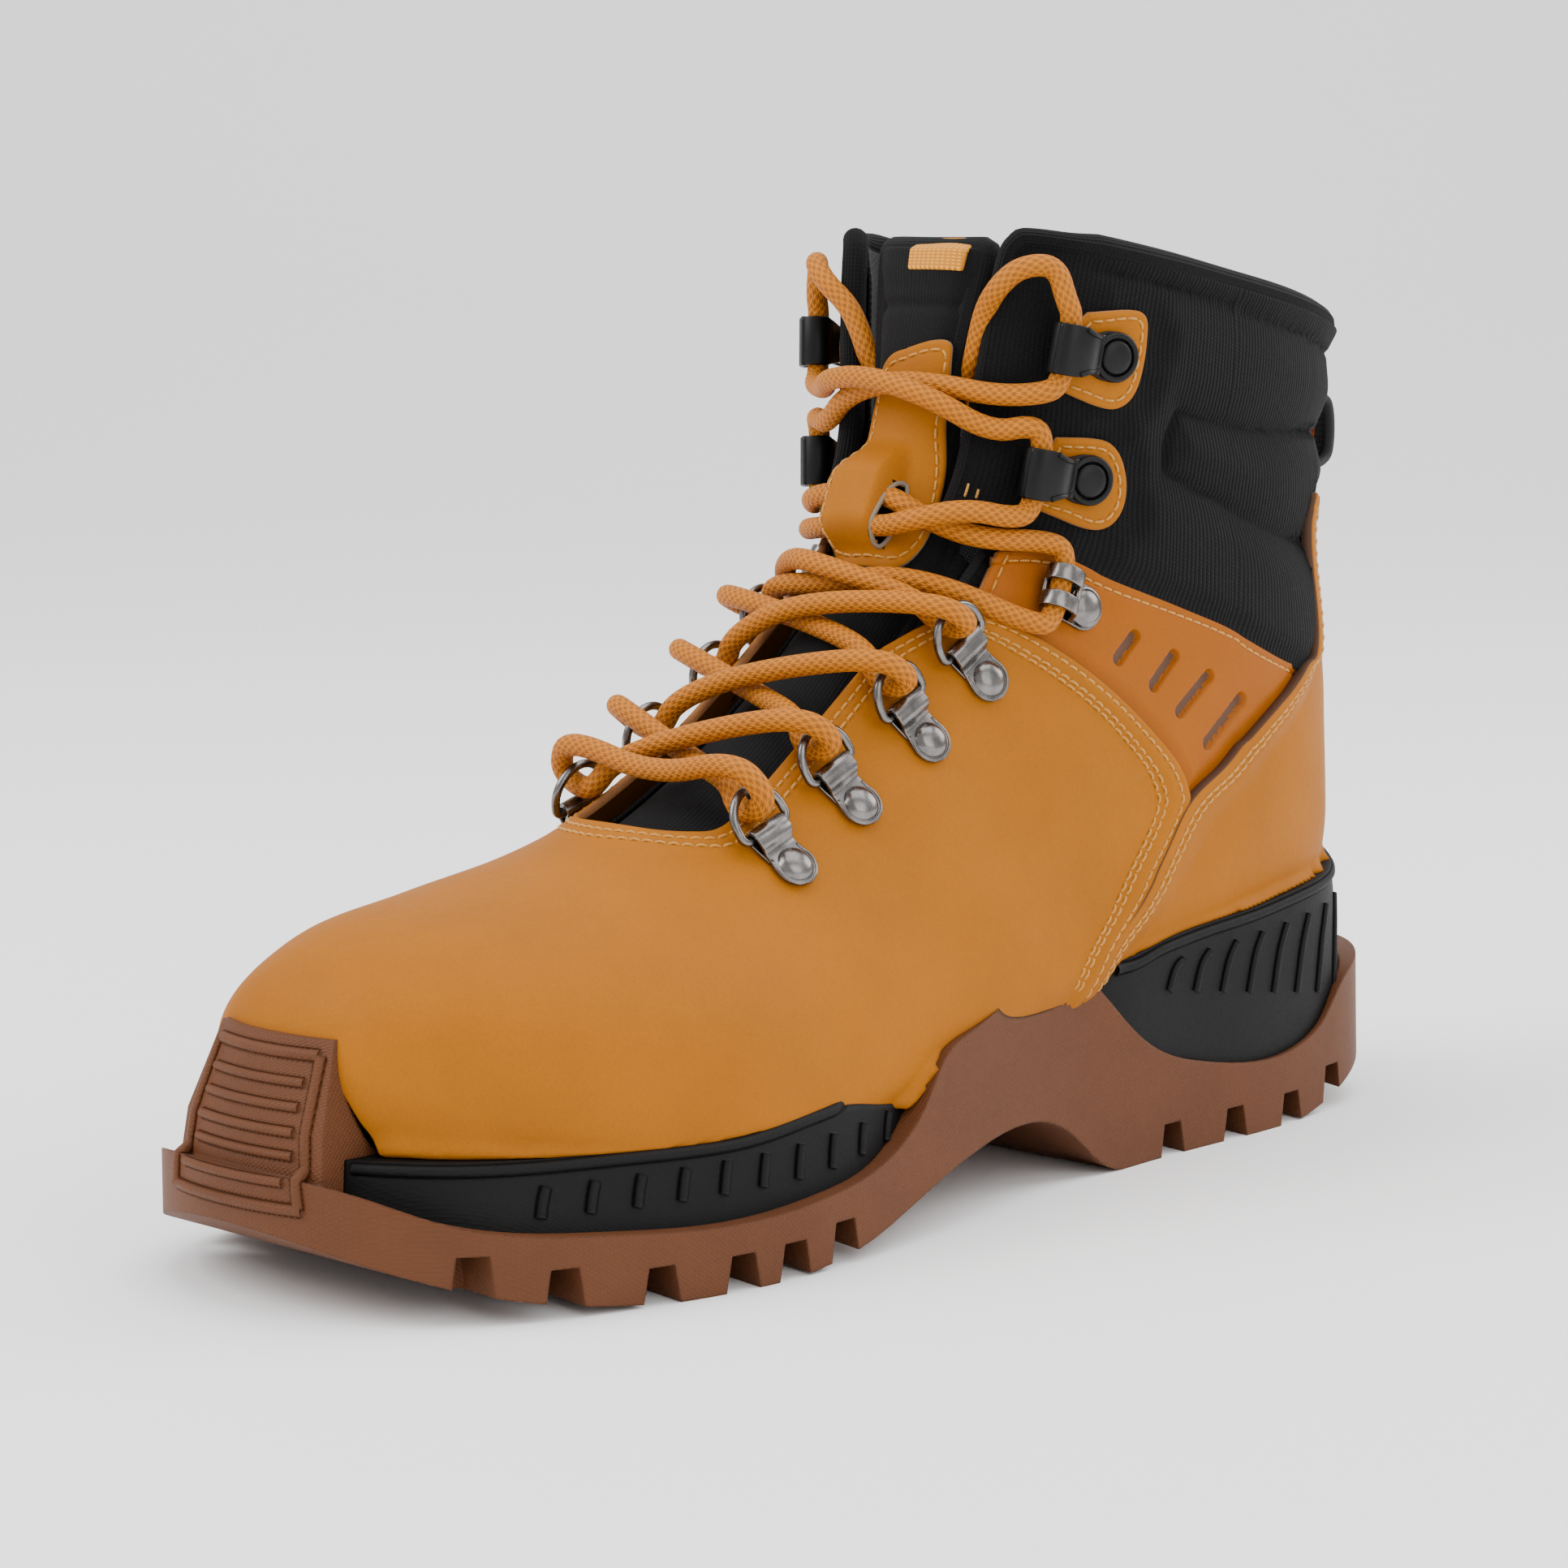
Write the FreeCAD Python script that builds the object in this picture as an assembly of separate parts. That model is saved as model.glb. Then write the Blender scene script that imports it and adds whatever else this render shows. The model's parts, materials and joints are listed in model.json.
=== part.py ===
"""Left steel toe work boot, built as separate pieces, one STEP file per node.

Frame: millimetres, +Z up, toe toward -Y, heel toward +Y, lateral (outer) side
toward +X, origin at the middle of the foot of the bounding box.

Every soft panel is a patch of one boot surface surf(s, v): s runs from the toe
tip (0) to the top of the collar (1), v runs from the top or front ridge (0)
round the lateral side (+) or the medial side (-) to the sole or back ridge (1).
A third number, d, is the distance outside that surface.
"""
import FreeCAD, Part
import math, os

Vec = FreeCAD.Vector
os.makedirs("parts", exist_ok=True)

# ------------------------------------------------------------ driving sizes
SHIFT = Vec(-0.42, 0.7, 0.0)     # puts the box's middle on the origin
LEATHER = 1.8                    # upper leather thickness
KNIT = 1.3                       # knit face cloth thickness
CAP_OUT, CAP_IN = 2.1, 3.9       # steel toe cap, depth below the leather's face
CAP_BACK = 1.5                   # toe cap set back from the toe's tip
LINE_OUT, LINE_IN = 4.5, 5.4     # lining
TONGUE_OUT, TONGUE_IN = 5.8, 13.6
GAP = 0.35                       # half of the joint between two panels
SOLE_GAP = 0.8                   # upper to sole unit
LUG_DEPTH = 7.0                  # tread depth
LACE_D = 4.6                     # lace diameter
WIRE_R = 0.9                     # D-ring wire radius
RUN_CLEAR = 0.05                 # running clearance of a ring in its clip

# s, top (y, z), bottom (y, z), lateral and medial half width, where the widest
# point lies from top to bottom, fullness above and below it, centre x
SECTIONS = [
    (0.00, (-146, 38), (-146, 38), 0.0, 0.0, .60, 2.0, 2.2, -3),
    (0.02, (-147, 45), (-143, 30), 13.0, 12.5, .60, 2.0, 2.2, -3),
    (0.06, (-144, 54.8), (-137, 26), 25.0, 23.5, .62, 2.1, 2.4, -3),
    (0.11, (-136, 62.5), (-127, 23), 35.0, 32.0, .65, 2.2, 2.6, -2),
    (0.18, (-121, 68.2), (-112, 21), 43.5, 39.5, .68, 2.3, 2.8, -1),
    (0.26, (-100, 71.5), (-91, 18), 49.0, 45.0, .70, 2.3, 3.0, 0),
    (0.34, (-77, 76.2), (-66, 17), 51.5, 47.0, .73, 2.1, 3.0, 0),
    (0.42, (-54, 85), (-38, 18), 49.5, 44.0, .77, 2.0, 3.0, 0),
    (0.50, (-32, 99), (-8, 21), 46.0, 40.5, .78, 2.0, 2.8, 0),
    (0.57, (-13, 115), (24, 26), 43.0, 38.5, .78, 2.0, 2.6, 0),
    (0.64, (2, 131), (62, 29), 40.5, 38.0, .72, 2.1, 2.5, 0),
    (0.70, (9, 145), (104, 29), 39.5, 38.0, .66, 2.2, 2.4, 0),
    (0.75, (12, 154), (136, 34), 38.5, 37.5, .60, 2.2, 2.3, 0),
    (0.80, (14, 162), (147.5, 56), 38.0, 37.5, .56, 2.2, 2.2, 0),
    (0.85, (16, 171), (147.5, 84), 38.0, 37.5, .52, 2.3, 2.2, 0),
    (0.90, (18, 180), (142.5, 114), 38.5, 38.0, .50, 2.4, 2.2, 0),
    (0.95, (20, 189), (141, 145), 39.5, 39.0, .50, 2.5, 2.2, 0),
    (1.00, (22, 198), (147.5, 178), 41.0, 40.0, .50, 2.6, 2.2, 0),
]
# outsole outline (x, y), lateral side first
OUTLINE = [(-8, -158), (20, -153), (42, -134), (54, -100), (58, -65), (54, -22), (46, 20),
           (42, 60), (41, 100), (35, 134), (20, 152), (0, 157), (-20, 152), (-36, 134),
           (-40, 100), (-38, 60), (-37, 20), (-44, -20), (-54, -55), (-57, -90),
           (-50, -126), (-33, -150)]


# ------------------------------------------------------------ curves
class Smooth:
    """Cubic curve through points that never overshoots them."""

    def __init__(self, xs, ys):
        self.x, self.y = list(xs), list(ys)
        n = len(self.x)
        h = [self.x[i + 1] - self.x[i] for i in range(n - 1)]
        d = [(self.y[i + 1] - self.y[i]) / h[i] for i in range(n - 1)]
        m = [0.0] * n
        m[0], m[-1] = d[0], d[-1]
        for i in range(1, n - 1):
            if d[i - 1] * d[i] > 0:
                a, b = 2 * h[i] + h[i - 1], h[i] + 2 * h[i - 1]
                m[i] = (a + b) / (a / d[i - 1] + b / d[i])
        self.h, self.m = h, m

    def __call__(self, x):
        x = min(max(x, self.x[0]), self.x[-1])
        i = 0
        while i < len(self.h) - 1 and x > self.x[i + 1]:
            i += 1
        t, h = (x - self.x[i]) / self.h[i], self.h[i]
        y, m = self.y, self.m
        return ((2 * t**3 - 3 * t**2 + 1) * y[i] + (t**3 - 2 * t**2 + t) * h * m[i]
                + (3 * t**2 - 2 * t**3) * y[i + 1] + (t**3 - t**2) * h * m[i + 1])


def ease(x, a, b):
    """0 below a, 1 above b, smooth between."""
    t = min(max((x - a) / (b - a), 0.0), 1.0)
    return t * t * (3 - 2 * t)


def rounded_path(pts, closed=False, steps=8):
    """Catmull-Rom curve through 2-D points, as a dense list."""
    n, out = len(pts), []
    for i in range(n if closed else n - 1):
        if closed:
            p = [pts[(i + k) % n] for k in (-1, 0, 1, 2)]
        else:
            p = [pts[max(i - 1, 0)], pts[i], pts[i + 1], pts[min(i + 2, n - 1)]]
        for j in range(steps):
            t = j / steps
            out.append(tuple(0.5 * (2 * p[1][k] + (p[2][k] - p[0][k]) * t
                       + (2 * p[0][k] - 5 * p[1][k] + 4 * p[2][k] - p[3][k]) * t * t
                       + (3 * p[1][k] - p[0][k] - 3 * p[2][k] + p[3][k]) * t**3)
                       for k in (0, 1)))
    if not closed:
        out.append(tuple(pts[-1]))
    return out


# ------------------------------------------------------------ the boot surface
S = [r[0] for r in SECTIONS]
TOP_Y, TOP_Z = Smooth(S, [r[1][0] for r in SECTIONS]), Smooth(S, [r[1][1] for r in SECTIONS])
BOT_Y, BOT_Z = Smooth(S, [r[2][0] for r in SECTIONS]), Smooth(S, [r[2][1] for r in SECTIONS])
LAT, MED, WIDEST, FULL_UP, FULL_LOW, MID_X = [Smooth(S, [r[k] for r in SECTIONS])
                                              for k in range(3, 9)]
RISE = Vec(0, 40, 180)           # direction of the front ridge above s = 1


def section_point(s, v, grow=0.0):
    """Point of section s at v; grow widens the whole section in its own plane."""
    while v > 1:
        v -= 2
    while v < -1:
        v += 2
    tm, a = WIDEST(s), abs(v)
    vs = 0.25 + 0.5 * tm
    if a <= vs:
        ph, n = a / vs * math.pi / 2, FULL_UP(s)
        tau = tm * (1 - math.cos(ph) ** (2 / n))
    else:
        ph, n = (1 - a) / (1 - vs) * math.pi / 2, FULL_LOW(s)
        tau = tm + (1 - tm) * math.cos(ph) ** (2 / n)
    side = 1 if v >= 0 else -1
    x = MID_X(s) + side * ((LAT(s) if v >= 0 else MED(s)) + grow) * math.sin(ph) ** (2 / n)
    ty, tz, by, bz = TOP_Y(s), TOP_Z(s), BOT_Y(s), BOT_Z(s)
    length = math.hypot(by - ty, bz - tz)
    k = tau + grow * (2 * tau - 1) / length
    p = Vec(x, ty + (by - ty) * k, tz + (bz - tz) * k)
    return p + RISE * (s - 1) if s > 1 else p


def normal(s, v):
    e = 1e-3
    ds = section_point(min(s + e, 1), v) - section_point(max(min(s, 1) - e, 0.004), v)
    dv = section_point(s, v + e) - section_point(s, v - e)
    n = dv.cross(ds)
    n.normalize()
    return n


def surf(s, v, d=0.0):
    p = section_point(s, v)
    return p + normal(s, v) * d if d else p


# ------------------------------------------------------------ panels
def even(path, n):
    """n points evenly spaced along an (s, v) path, measured on the boot."""
    fine = rounded_path(path)
    pts = [section_point(*p) for p in fine]
    run = [0.0]
    for a, b in zip(pts, pts[1:]):
        run.append(run[-1] + (b - a).Length)
    out, k = [], 0
    for i in range(n):
        want = run[-1] * i / (n - 1)
        while k < len(run) - 2 and run[k + 1] < want:
            k += 1
        t = (want - run[k]) / max(run[k + 1] - run[k], 1e-9)
        out.append((fine[k][0] + (fine[k + 1][0] - fine[k][0]) * t,
                    fine[k][1] + (fine[k + 1][1] - fine[k][1]) * t))
    return out


def grid_sv(bottom, top, left, right, nu, nv, gap):
    """Grid of (s, v) inside four edges, drawn in by gap millimetres all round."""
    B, T, L, R = even(bottom, nu), even(top, nu), even(left, nv), even(right, nv)
    G = []
    for i in range(nu):
        a = i / (nu - 1)
        G.append([tuple((1 - j / (nv - 1)) * B[i][k] + j / (nv - 1) * T[i][k]
                        + (1 - a) * L[j][k] + a * R[j][k]
                        - (1 - j / (nv - 1)) * ((1 - a) * B[0][k] + a * B[-1][k])
                        - j / (nv - 1) * ((1 - a) * T[0][k] + a * T[-1][k]) for k in (0, 1))
                  for j in range(nv)])

    def draw_in(p, q):
        r = gap / max((section_point(*q) - section_point(*p)).Length, gap)
        return (p[0] + (q[0] - p[0]) * r, p[1] + (q[1] - p[1]) * r)
    for i in range(nu):
        G[i][0], G[i][-1] = draw_in(G[i][0], G[i][1]), draw_in(G[i][-1], G[i][-2])
    for j in range(nv):
        G[0][j], G[-1][j] = draw_in(G[0][j], G[1][j]), draw_in(G[-1][j], G[-2][j])
    return G


def between(A, B):
    """Solid between two grids of points."""
    fa, fb = Part.BSplineSurface(), Part.BSplineSurface()
    fa.interpolate(A)
    fb.interpolate(B)
    faces = [fa.toShape(), fb.toShape()]
    ua, ub = fa.bounds(), fb.bounds()
    for k in (0, 1):
        faces.append(Part.makeRuledSurface(fa.uIso(ua[k]).toShape(), fb.uIso(ub[k]).toShape()))
        faces.append(Part.makeRuledSurface(fa.vIso(ua[k + 2]).toShape(),
                                           fb.vIso(ub[k + 2]).toShape()))
    shell = Part.makeShell(faces)
    shell.sewShape()
    solid = Part.makeSolid(shell if shell.ShapeType == "Shell" else shell.Shells[0])
    if solid.Volume < 0:
        solid.reverse()
    return solid


def depth_of(d):
    return d if callable(d) else (lambda s, v: d)


def panel(bottom, top, left, right, d_out, d_in, nu=16, nv=8, gap=GAP):
    """Sheet solid inside four (s, v) edges, from depth d_out down to d_in."""
    fo, fi = depth_of(d_out), depth_of(d_in)
    G = grid_sv(bottom, top, left, right, nu, nv, gap)
    return between([[surf(s, v, fo(s, v)) for s, v in row] for row in G],
                   [[surf(s, v, fi(s, v)) for s, v in row] for row in G])


def box_panel(s0, s1, v0, v1, d_out, d_in, nu=12, nv=8, gap=0.0):
    return panel([(s0, v0), (s0, v1)], [(s1, v0), (s1, v1)], [(s0, v0), (s1, v0)],
                 [(s0, v1), (s1, v1)], d_out, d_in, nu, nv, gap)


def both_sides(path):
    """Edge that runs from the lateral side over the front to the medial side."""
    return path + [(s, -v) for s, v in reversed(path) if v > 0]


def round_back(path):
    """Edge that runs from the lateral side round the heel to the medial side."""
    return path + [(s, 2 - v) for s, v in reversed(path) if v < 1]


def other(path, side):
    return [(s, side * v) for s, v in path]


PIECES = {}


def add(name, shape):
    PIECES[name] = shape


# shared panel edges, lateral side, (s, v)
FEATHER = [(.608, .70), (.555, .70), (.499, .70), (.455, .70), (.414, .70), (.363, .71),
           (.302, .72), (.255, .725), (.203, .735), (.150, .74), (.101, .74), (.066, .71),
           (.042, .58), (.036, .35), (.036, 0)]
THROAT = [(.654, .267), (.625, .222), (.599, .195), (.578, .181), (.518, .171), (.455, .173),
          (.419, .172), (.402, .140), (.388, .08), (.383, 0)]
VAMP_REAR_LOW = [(.608, .70), (.621, .658), (.645, .623), (.668, .591), (.699, .557)]
VAMP_TOP_REAR = [(.654, .267), (.671, .319), (.684, .371), (.695, .419), (.704, .465),
                 (.709, .515), (.706, .543), (.699, .557)]
ANKLE_TOP = [(.706, .249), (.745, .305), (.770, .377), (.794, .449), (.816, .527),
             (.836, .641)]
ANKLE_FRONT = [(.654, .267), (.669, .257), (.706, .249)]
ANKLE_REAR = [(.699, .557), (.728, .545), (.765, .545), (.799, .579), (.836, .641)]
HEEL_FRONT_UP = [(.836, .641), (.850, .674), (.880, .688), (.905, .685), (.922, .69)]
HEEL_TOP = [(.922, .69), (.926, .84), (.927, 1.0)]
HEEL_BOTTOM = [(.608, .70), (.66, .76), (.71, .82), (.745, .90), (.755, 1.0)]

add("vamp", panel(both_sides(FEATHER), both_sides(THROAT),
                  VAMP_REAR_LOW[:-1] + VAMP_TOP_REAR[::-1],
                  other(VAMP_REAR_LOW[:-1] + VAMP_TOP_REAR[::-1], -1), 0, -LEATHER, 61, 13))
for side, word in ((1, "lateral"), (-1, "medial")):
    add("ankle_panel_" + word, panel(other(VAMP_TOP_REAR, side), other(ANKLE_TOP, side),
                                     other(ANKLE_FRONT, side), other(ANKLE_REAR, side),
                                     0, -LEATHER, 17, 9))
add("heel_panel", panel(round_back(HEEL_BOTTOM), round_back(HEEL_TOP),
                        VAMP_REAR_LOW[:-1] + ANKLE_REAR[:-1] + HEEL_FRONT_UP,
                        [(s, 2 - v) for s, v in
                         VAMP_REAR_LOW[:-1] + ANKLE_REAR[:-1] + HEEL_FRONT_UP],
                        0, -LEATHER, 41, 25))

# padded knit collar: face cloth, foam, lining and the bound top line
COLLAR_LOW = ([(.700, .168), (.712, .225)] + ANKLE_TOP[1:]
              + [(.850, .664), (.880, .676), (.905, .672), (.922, .676), (.9285, .69),
                 (.9305, .74), (.931, .80), (.931, 1.0)])


def foam(s, v):
    """Foam thickness: thin at the front edges, full round the ankle."""
    a = abs(v if v <= 1 else 2 - v)
    return 1.6 + 4.9 * ease(a, .24, .40)


add("collar_outer", panel(round_back(COLLAR_LOW), round_back([(.985, .168), (.985, 1.0)]),
                          [(.700, .168), (.985, .168)], [(.700, 1.832), (.985, 1.832)],
                          0, -KNIT, 49, 11))
PAD_LOW = [(.735, .19), (.748, .30), (.78, .42), (.815, .53), (.85, .66), (.87, .80), (.87, 1.0)]
add("collar_padding", panel(round_back(PAD_LOW), round_back([(.983, .19), (.983, 1.0)]),
                            [(.735, .19), (.983, .19)], [(.735, 1.81), (.983, 1.81)], -2.3,
                            lambda s, v: -2.3 - foam(s, v), 41, 9))
add("collar_lining", panel(round_back([(s - .012, v) for s, v in PAD_LOW]),
                           round_back([(.985, .19), (.985, 1.0)]),
                           [(.723, .19), (.985, .19)], [(.723, 1.81), (.985, 1.81)],
                           lambda s, v: -2.9 - foam(s, v), lambda s, v: -3.8 - foam(s, v),
                           41, 9))
add("collar_rim", panel(round_back([(.987, .168), (.987, 1.0)]),
                        round_back([(1.0, .168), (1.0, 1.0)]), [(.987, .168), (1.0, .168)],
                        [(.987, 1.832), (1.0, 1.832)], 0,
                        lambda s, v: -3.8 - foam(s, v), 41, 4, 0))

# linings under the leather
add("vamp_lining", panel(both_sides([(.60, .76), (.46, .76), (.36, .76), (.25, .76), (.16, .76),
                                     (.115, .74), (.09, .62), (.082, .35), (.082, 0)]),
                         both_sides([(.712, .235), (.60, .215), (.50, .20), (.425, .195),
                                     (.398, .12), (.388, 0)]),
                         [(.60, .76), (.66, .60), (.70, .45), (.712, .30), (.712, .235)],
                         [(.60, -.76), (.66, -.60), (.70, -.45), (.712, -.30), (.712, -.235)],
                         -LINE_OUT, -LINE_IN, 45, 11))
LINING_FRONT = [(.60, .76), (.66, .60), (.70, .45), (.712, .30), (.712, .235)]
add("heel_lining", panel(round_back([(.60, .76), (.66, .79), (.715, .86), (.742, .93),
                                     (.75, 1.0)]),
                         round_back([(.716, .24), (.734, .31), (.765, .43), (.80, .54),
                                     (.835, .67), (.855, .80), (.855, 1.0)]),
                         LINING_FRONT[:-1] + [(.716, .24)],
                         [(s, 2 - v) for s, v in LINING_FRONT[:-1] + [(.716, .24)]],
                         -LINE_OUT, -LINE_IN, 45, 15))
add("heel_counter", panel(round_back([(.64, .76), (.70, .83), (.742, .92), (.75, 1.0)]),
                          round_back([(.72, .62), (.80, .68), (.845, .78), (.85, 1.0)]),
                          [(.64, .76), (.675, .68), (.72, .62)],
                          [(.64, 1.24), (.675, 1.32), (.72, 1.38)],
                          -CAP_OUT, -CAP_IN + .4, 31, 13))


def bed(s0, s1, v, d_out, d_in):
    """Flat layer on the sole's side of the boot, narrowing with the heel."""
    edge = [(s0, v), (.30, v), (.50, v), (.60, v), (.64, v + .015), (.675, v + .05), (s1, v + .10)]
    return panel([(s0, v), (s0, 1.0), (s0, 2 - v)],
                 [(s1, v + .10), (s1 + .006, 1.0), (s1, 1.90 - v)],
                 edge, [(a, 2 - b) for a, b in edge], d_out, d_in, 11, 41, 0)


add("insole_board", bed(.10, .705, .80, -2.0, -3.6))
add("footbed", bed(.125, .700, .815, -4.6, -8.8))

# tongue: face, foam, lining, leather patch, pull tab, side gussets
def tongue_layer(s0, s1, low, high, d_out, d_in):
    """Tongue sheet, half width low below the ankle and high above it."""
    mid = (low + high) / 2
    edge = [(s0, low), (.50, low), (.60, low), (.66, low - .004), (.73, mid), (.80, high + .004),
            (.86, high), (.93, high), (s1, high)]
    return panel([(s0, -low), (s0, low)], [(s1, -high), (s1, high)], other(edge, -1), edge,
                 d_out, d_in, 9, 45, 0)


add("tongue_outer", tongue_layer(.365, .985, .205, .118, -TONGUE_OUT, -TONGUE_OUT - 1.2))
add("tongue_padding", tongue_layer(.47, .972, .190, .104, -TONGUE_OUT - 1.7, -TONGUE_IN + 1.4))
add("tongue_lining", tongue_layer(.365, .985, .195, .110, -TONGUE_IN + 1.0, -TONGUE_IN))
for side, word in ((1, "lateral"), (-1, "medial")):
    add("tongue_gusset_" + word, box_panel(.44, .69, side * .212, side * .30, -5.8, -6.6, 15, 4))


# ------------------------------------------------------------ steel toe cap
def last_wire(s, grow):
    pts = [section_point(s, -1 + 2 * k / 36, grow) for k in range(36)]
    c = Part.BSplineCurve()
    c.interpolate(Points=pts, PeriodicFlag=True)
    return Part.Wire([c.toShape()])


def last_solid(grow, s_list):
    return Part.makeLoft([last_wire(s, grow) for s in s_list], True, False)


TOE_S = [.045, .06, .085, .11, .145, .18, .22, .26, .30, .34]
cap_skin = last_solid(-CAP_OUT - .2, [.030] + TOE_S)
cap_core = last_solid(-CAP_IN, [.058, .07] + TOE_S[2:] + [.37])
cap_keep = Part.makeBox(140, 60, 80, Vec(-70, -160, 32))
toe_cap = cap_skin.cut(cap_core).common(cap_keep)
toe_cap.translate(Vec(0, CAP_BACK, 0))
add("steel_toe_cap", toe_cap)

# ------------------------------------------------------------ sole unit
LAST_S = [.02, .04, .06, .085, .11, .145, .18, .22, .26, .30, .34, .38, .42, .46, .50, .54,
          .57, .60, .64, .67, .70, .725, .75, .775, .80, .83]
last = last_solid(SOLE_GAP, LAST_S)
outline = rounded_path(OUTLINE, closed=True, steps=3)


def outline_wire(z, inset):
    """Outline at height z, moved in by inset(y)."""
    pts, n = [], len(outline)
    for i, (x, y) in enumerate(outline):
        (x0, y0), (x1, y1) = outline[i - 1], outline[(i + 1) % n]
        tx, ty = x1 - x0, y1 - y0
        k = math.hypot(tx, ty)
        w = inset(y)
        pts.append(Vec(x - w * ty / k, y + w * tx / k, z))
    c = Part.BSplineCurve()
    c.interpolate(Points=pts, PeriodicFlag=True)
    return Part.Wire([c.toShape()])


def column(z0, z1, in0, in1):
    return Part.makeLoft([outline_wire(z0, in0), outline_wire(z1, in1)], True, True)


def side_profile(bottom, top, width=150):
    """Slab seen from the side: (y, z) edges below and above, pushed through the boot."""
    def edges(pieces):
        out = []
        for p in pieces:
            pts = [Vec(-width / 2, y, z) for y, z in p]
            if len(pts) == 2:
                out.append(Part.makeLine(*pts))
            else:
                c = Part.BSplineCurve()
                c.interpolate(pts)
                out.append(c.toShape())
        return out
    b0, b1 = bottom[0][0], bottom[-1][-1]
    t0, t1 = top[0][0], top[-1][-1]
    x = -width / 2
    loop = (edges(bottom) + [Part.makeLine(Vec(x, *b1), Vec(x, *t1))] + edges(top)
            + [Part.makeLine(Vec(x, *t0), Vec(x, *b0))])
    wire = Part.Wire(Part.__sortEdges__(loop))
    return Part.Face(wire).extrude(Vec(width, 0, 0))


GROUND = [[(-166, 22), (-157, 15.5), (-148, 10.6), (-137, 6.4), (-124, 3.2), (-108, .9),
           (-92, 0)], [(-92, 0), (-76, 0)],
          [(-76, 0), (-64, .8), (-49, 3.3), (-37, 6.8), (-22, 11.5), (-8, 14.6), (6, 15.8),
           (18, 14.2), (27, 9.6), (33, 4.6), (39, 1.0), (45, 0)], [(45, 0), (104, 0)],
          [(104, 0), (116, 1.6), (132, 6.0), (148, 10.6), (166, 15)]]
RUBBER_TOP = [[(-166, 26), (-152, 25), (-143, 20.5), (-130, 16.6), (-112, 14.6), (-92, 13),
               (-77, 13), (-60, 14.4), (-47, 16.4), (-37, 19.8), (-28, 26), (-19, 35),
               (-8, 38.2), (4, 41.5), (14, 44.2), (22, 45.3), (31, 44)],
              [(31, 44), (36, 41), (43, 34.5), (51, 27.2), (59, 22.6), (72, 18.8), (84, 16.6),
               (96, 15.6), (109, 17), (119, 21), (127, 27.5), (140, 32), (166, 34)]]
MID_LOW = [[(-166, 22.6), (-150, 19.1), (-137, 15), (-120, 11.8), (-100, 10), (-80, 9.6),
            (-60, 11), (-44, 14), (-30, 18.6), (-12, 22), (8, 23), (24, 20.6), (36, 14.6),
            (46, 11.2), (60, 10.6), (110, 11.2), (128, 14), (148, 18.6), (166, 22.6)]]
FOAM_TOP = [[(-166, 29), (-140, 29), (-110, 28.4), (-80, 27.8), (-60, 29.6), (-43, 31.6),
             (-29, 34), (-13, 37), (0, 41)]]
CUP_TOP = [[(0, 41), (12, 44), (22, 45.3), (34, 44), (47, 44), (60, 46.4), (76, 48.3),
            (93, 49.8), (110, 51.8), (131, 54), (150, 58), (166, 60)]]


def rubber_in_low(y):
    return 0.0


def rubber_in_high(y):
    return 6.0 * ease(y, -70, -30) - 4.6 * ease(y, 30, 60)


def foam_in_low(y, grow=0.0):
    return 1.9 + 5.6 * ease(y, -50, -22) - 5.6 * ease(y, 24, 44) - grow


def foam_in_high(y, grow=0.0):
    toe, heel = 2.0 * (1 - ease(y, -150, -120)), 7.2 * ease(y, 112, 152)
    return 10.5 + toe - 8.5 * ease(y, 10, 60) + heel - grow


rubber = column(-2, 60, rubber_in_low, rubber_in_high).common(side_profile(GROUND, RUBBER_TOP))
well = column(-3, 62, lambda y: foam_in_low(y, .15), lambda y: foam_in_high(y, .15)).common(
    side_profile([[(y, z - .15) for y, z in MID_LOW[0]]], [[(-166, 75), (166, 75)]]))
mid_column = column(-3, 62, foam_in_low, foam_in_high)
foam_block = mid_column.common(side_profile(MID_LOW, FOAM_TOP + CUP_TOP))
front_half = Part.makeBox(160, 160, 90, Vec(-80, -166.2, -5))
back_half = Part.makeBox(160, 166, 90, Vec(-80, -5.8, -5))

# toe bumper: a band on the very front of the toe, moulded with the outsole
BUMPER_HALF = 19.5
BUMPER_MID = -3.0


def crescent(z, front, half):
    pts = [Vec(BUMPER_MID - half, -128, z), Vec(BUMPER_MID - half, front + 3.0, z),
           Vec(BUMPER_MID, front, z), Vec(BUMPER_MID + half, front + 3.6, z),
           Vec(BUMPER_MID + half, -128, z)]
    arc = Part.Arc(pts[1], pts[2], pts[3]).toShape()
    return Part.Wire([Part.makeLine(pts[0], pts[1]), arc, Part.makeLine(pts[3], pts[4]),
                      Part.makeLine(pts[4], pts[0])])


bumper = Part.makeLoft([crescent(18, -156.6, BUMPER_HALF + 1.5),
                        crescent(34, -154.6, BUMPER_HALF),
                        crescent(50.5, -148.6, BUMPER_HALF - 3.5)], True, True)

SIDE_GROOVES = [(-136, 11), (-120, 13), (-101, 14), (-83, 15), (-70, 15), (-56, 14), (-44, 12),
                (62, 13), (84, 13), (105, 12), (123, 10)]
ground_z = Smooth([p[0] for part in GROUND for p in part[:-1]] + [166],
                  [p[1] for part in GROUND for p in part[:-1]] + [15])


def half_width(y, side):
    return max([side * x for x, yy in outline if abs(yy - y) < 7 and side * x > 0] or [30])


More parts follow.
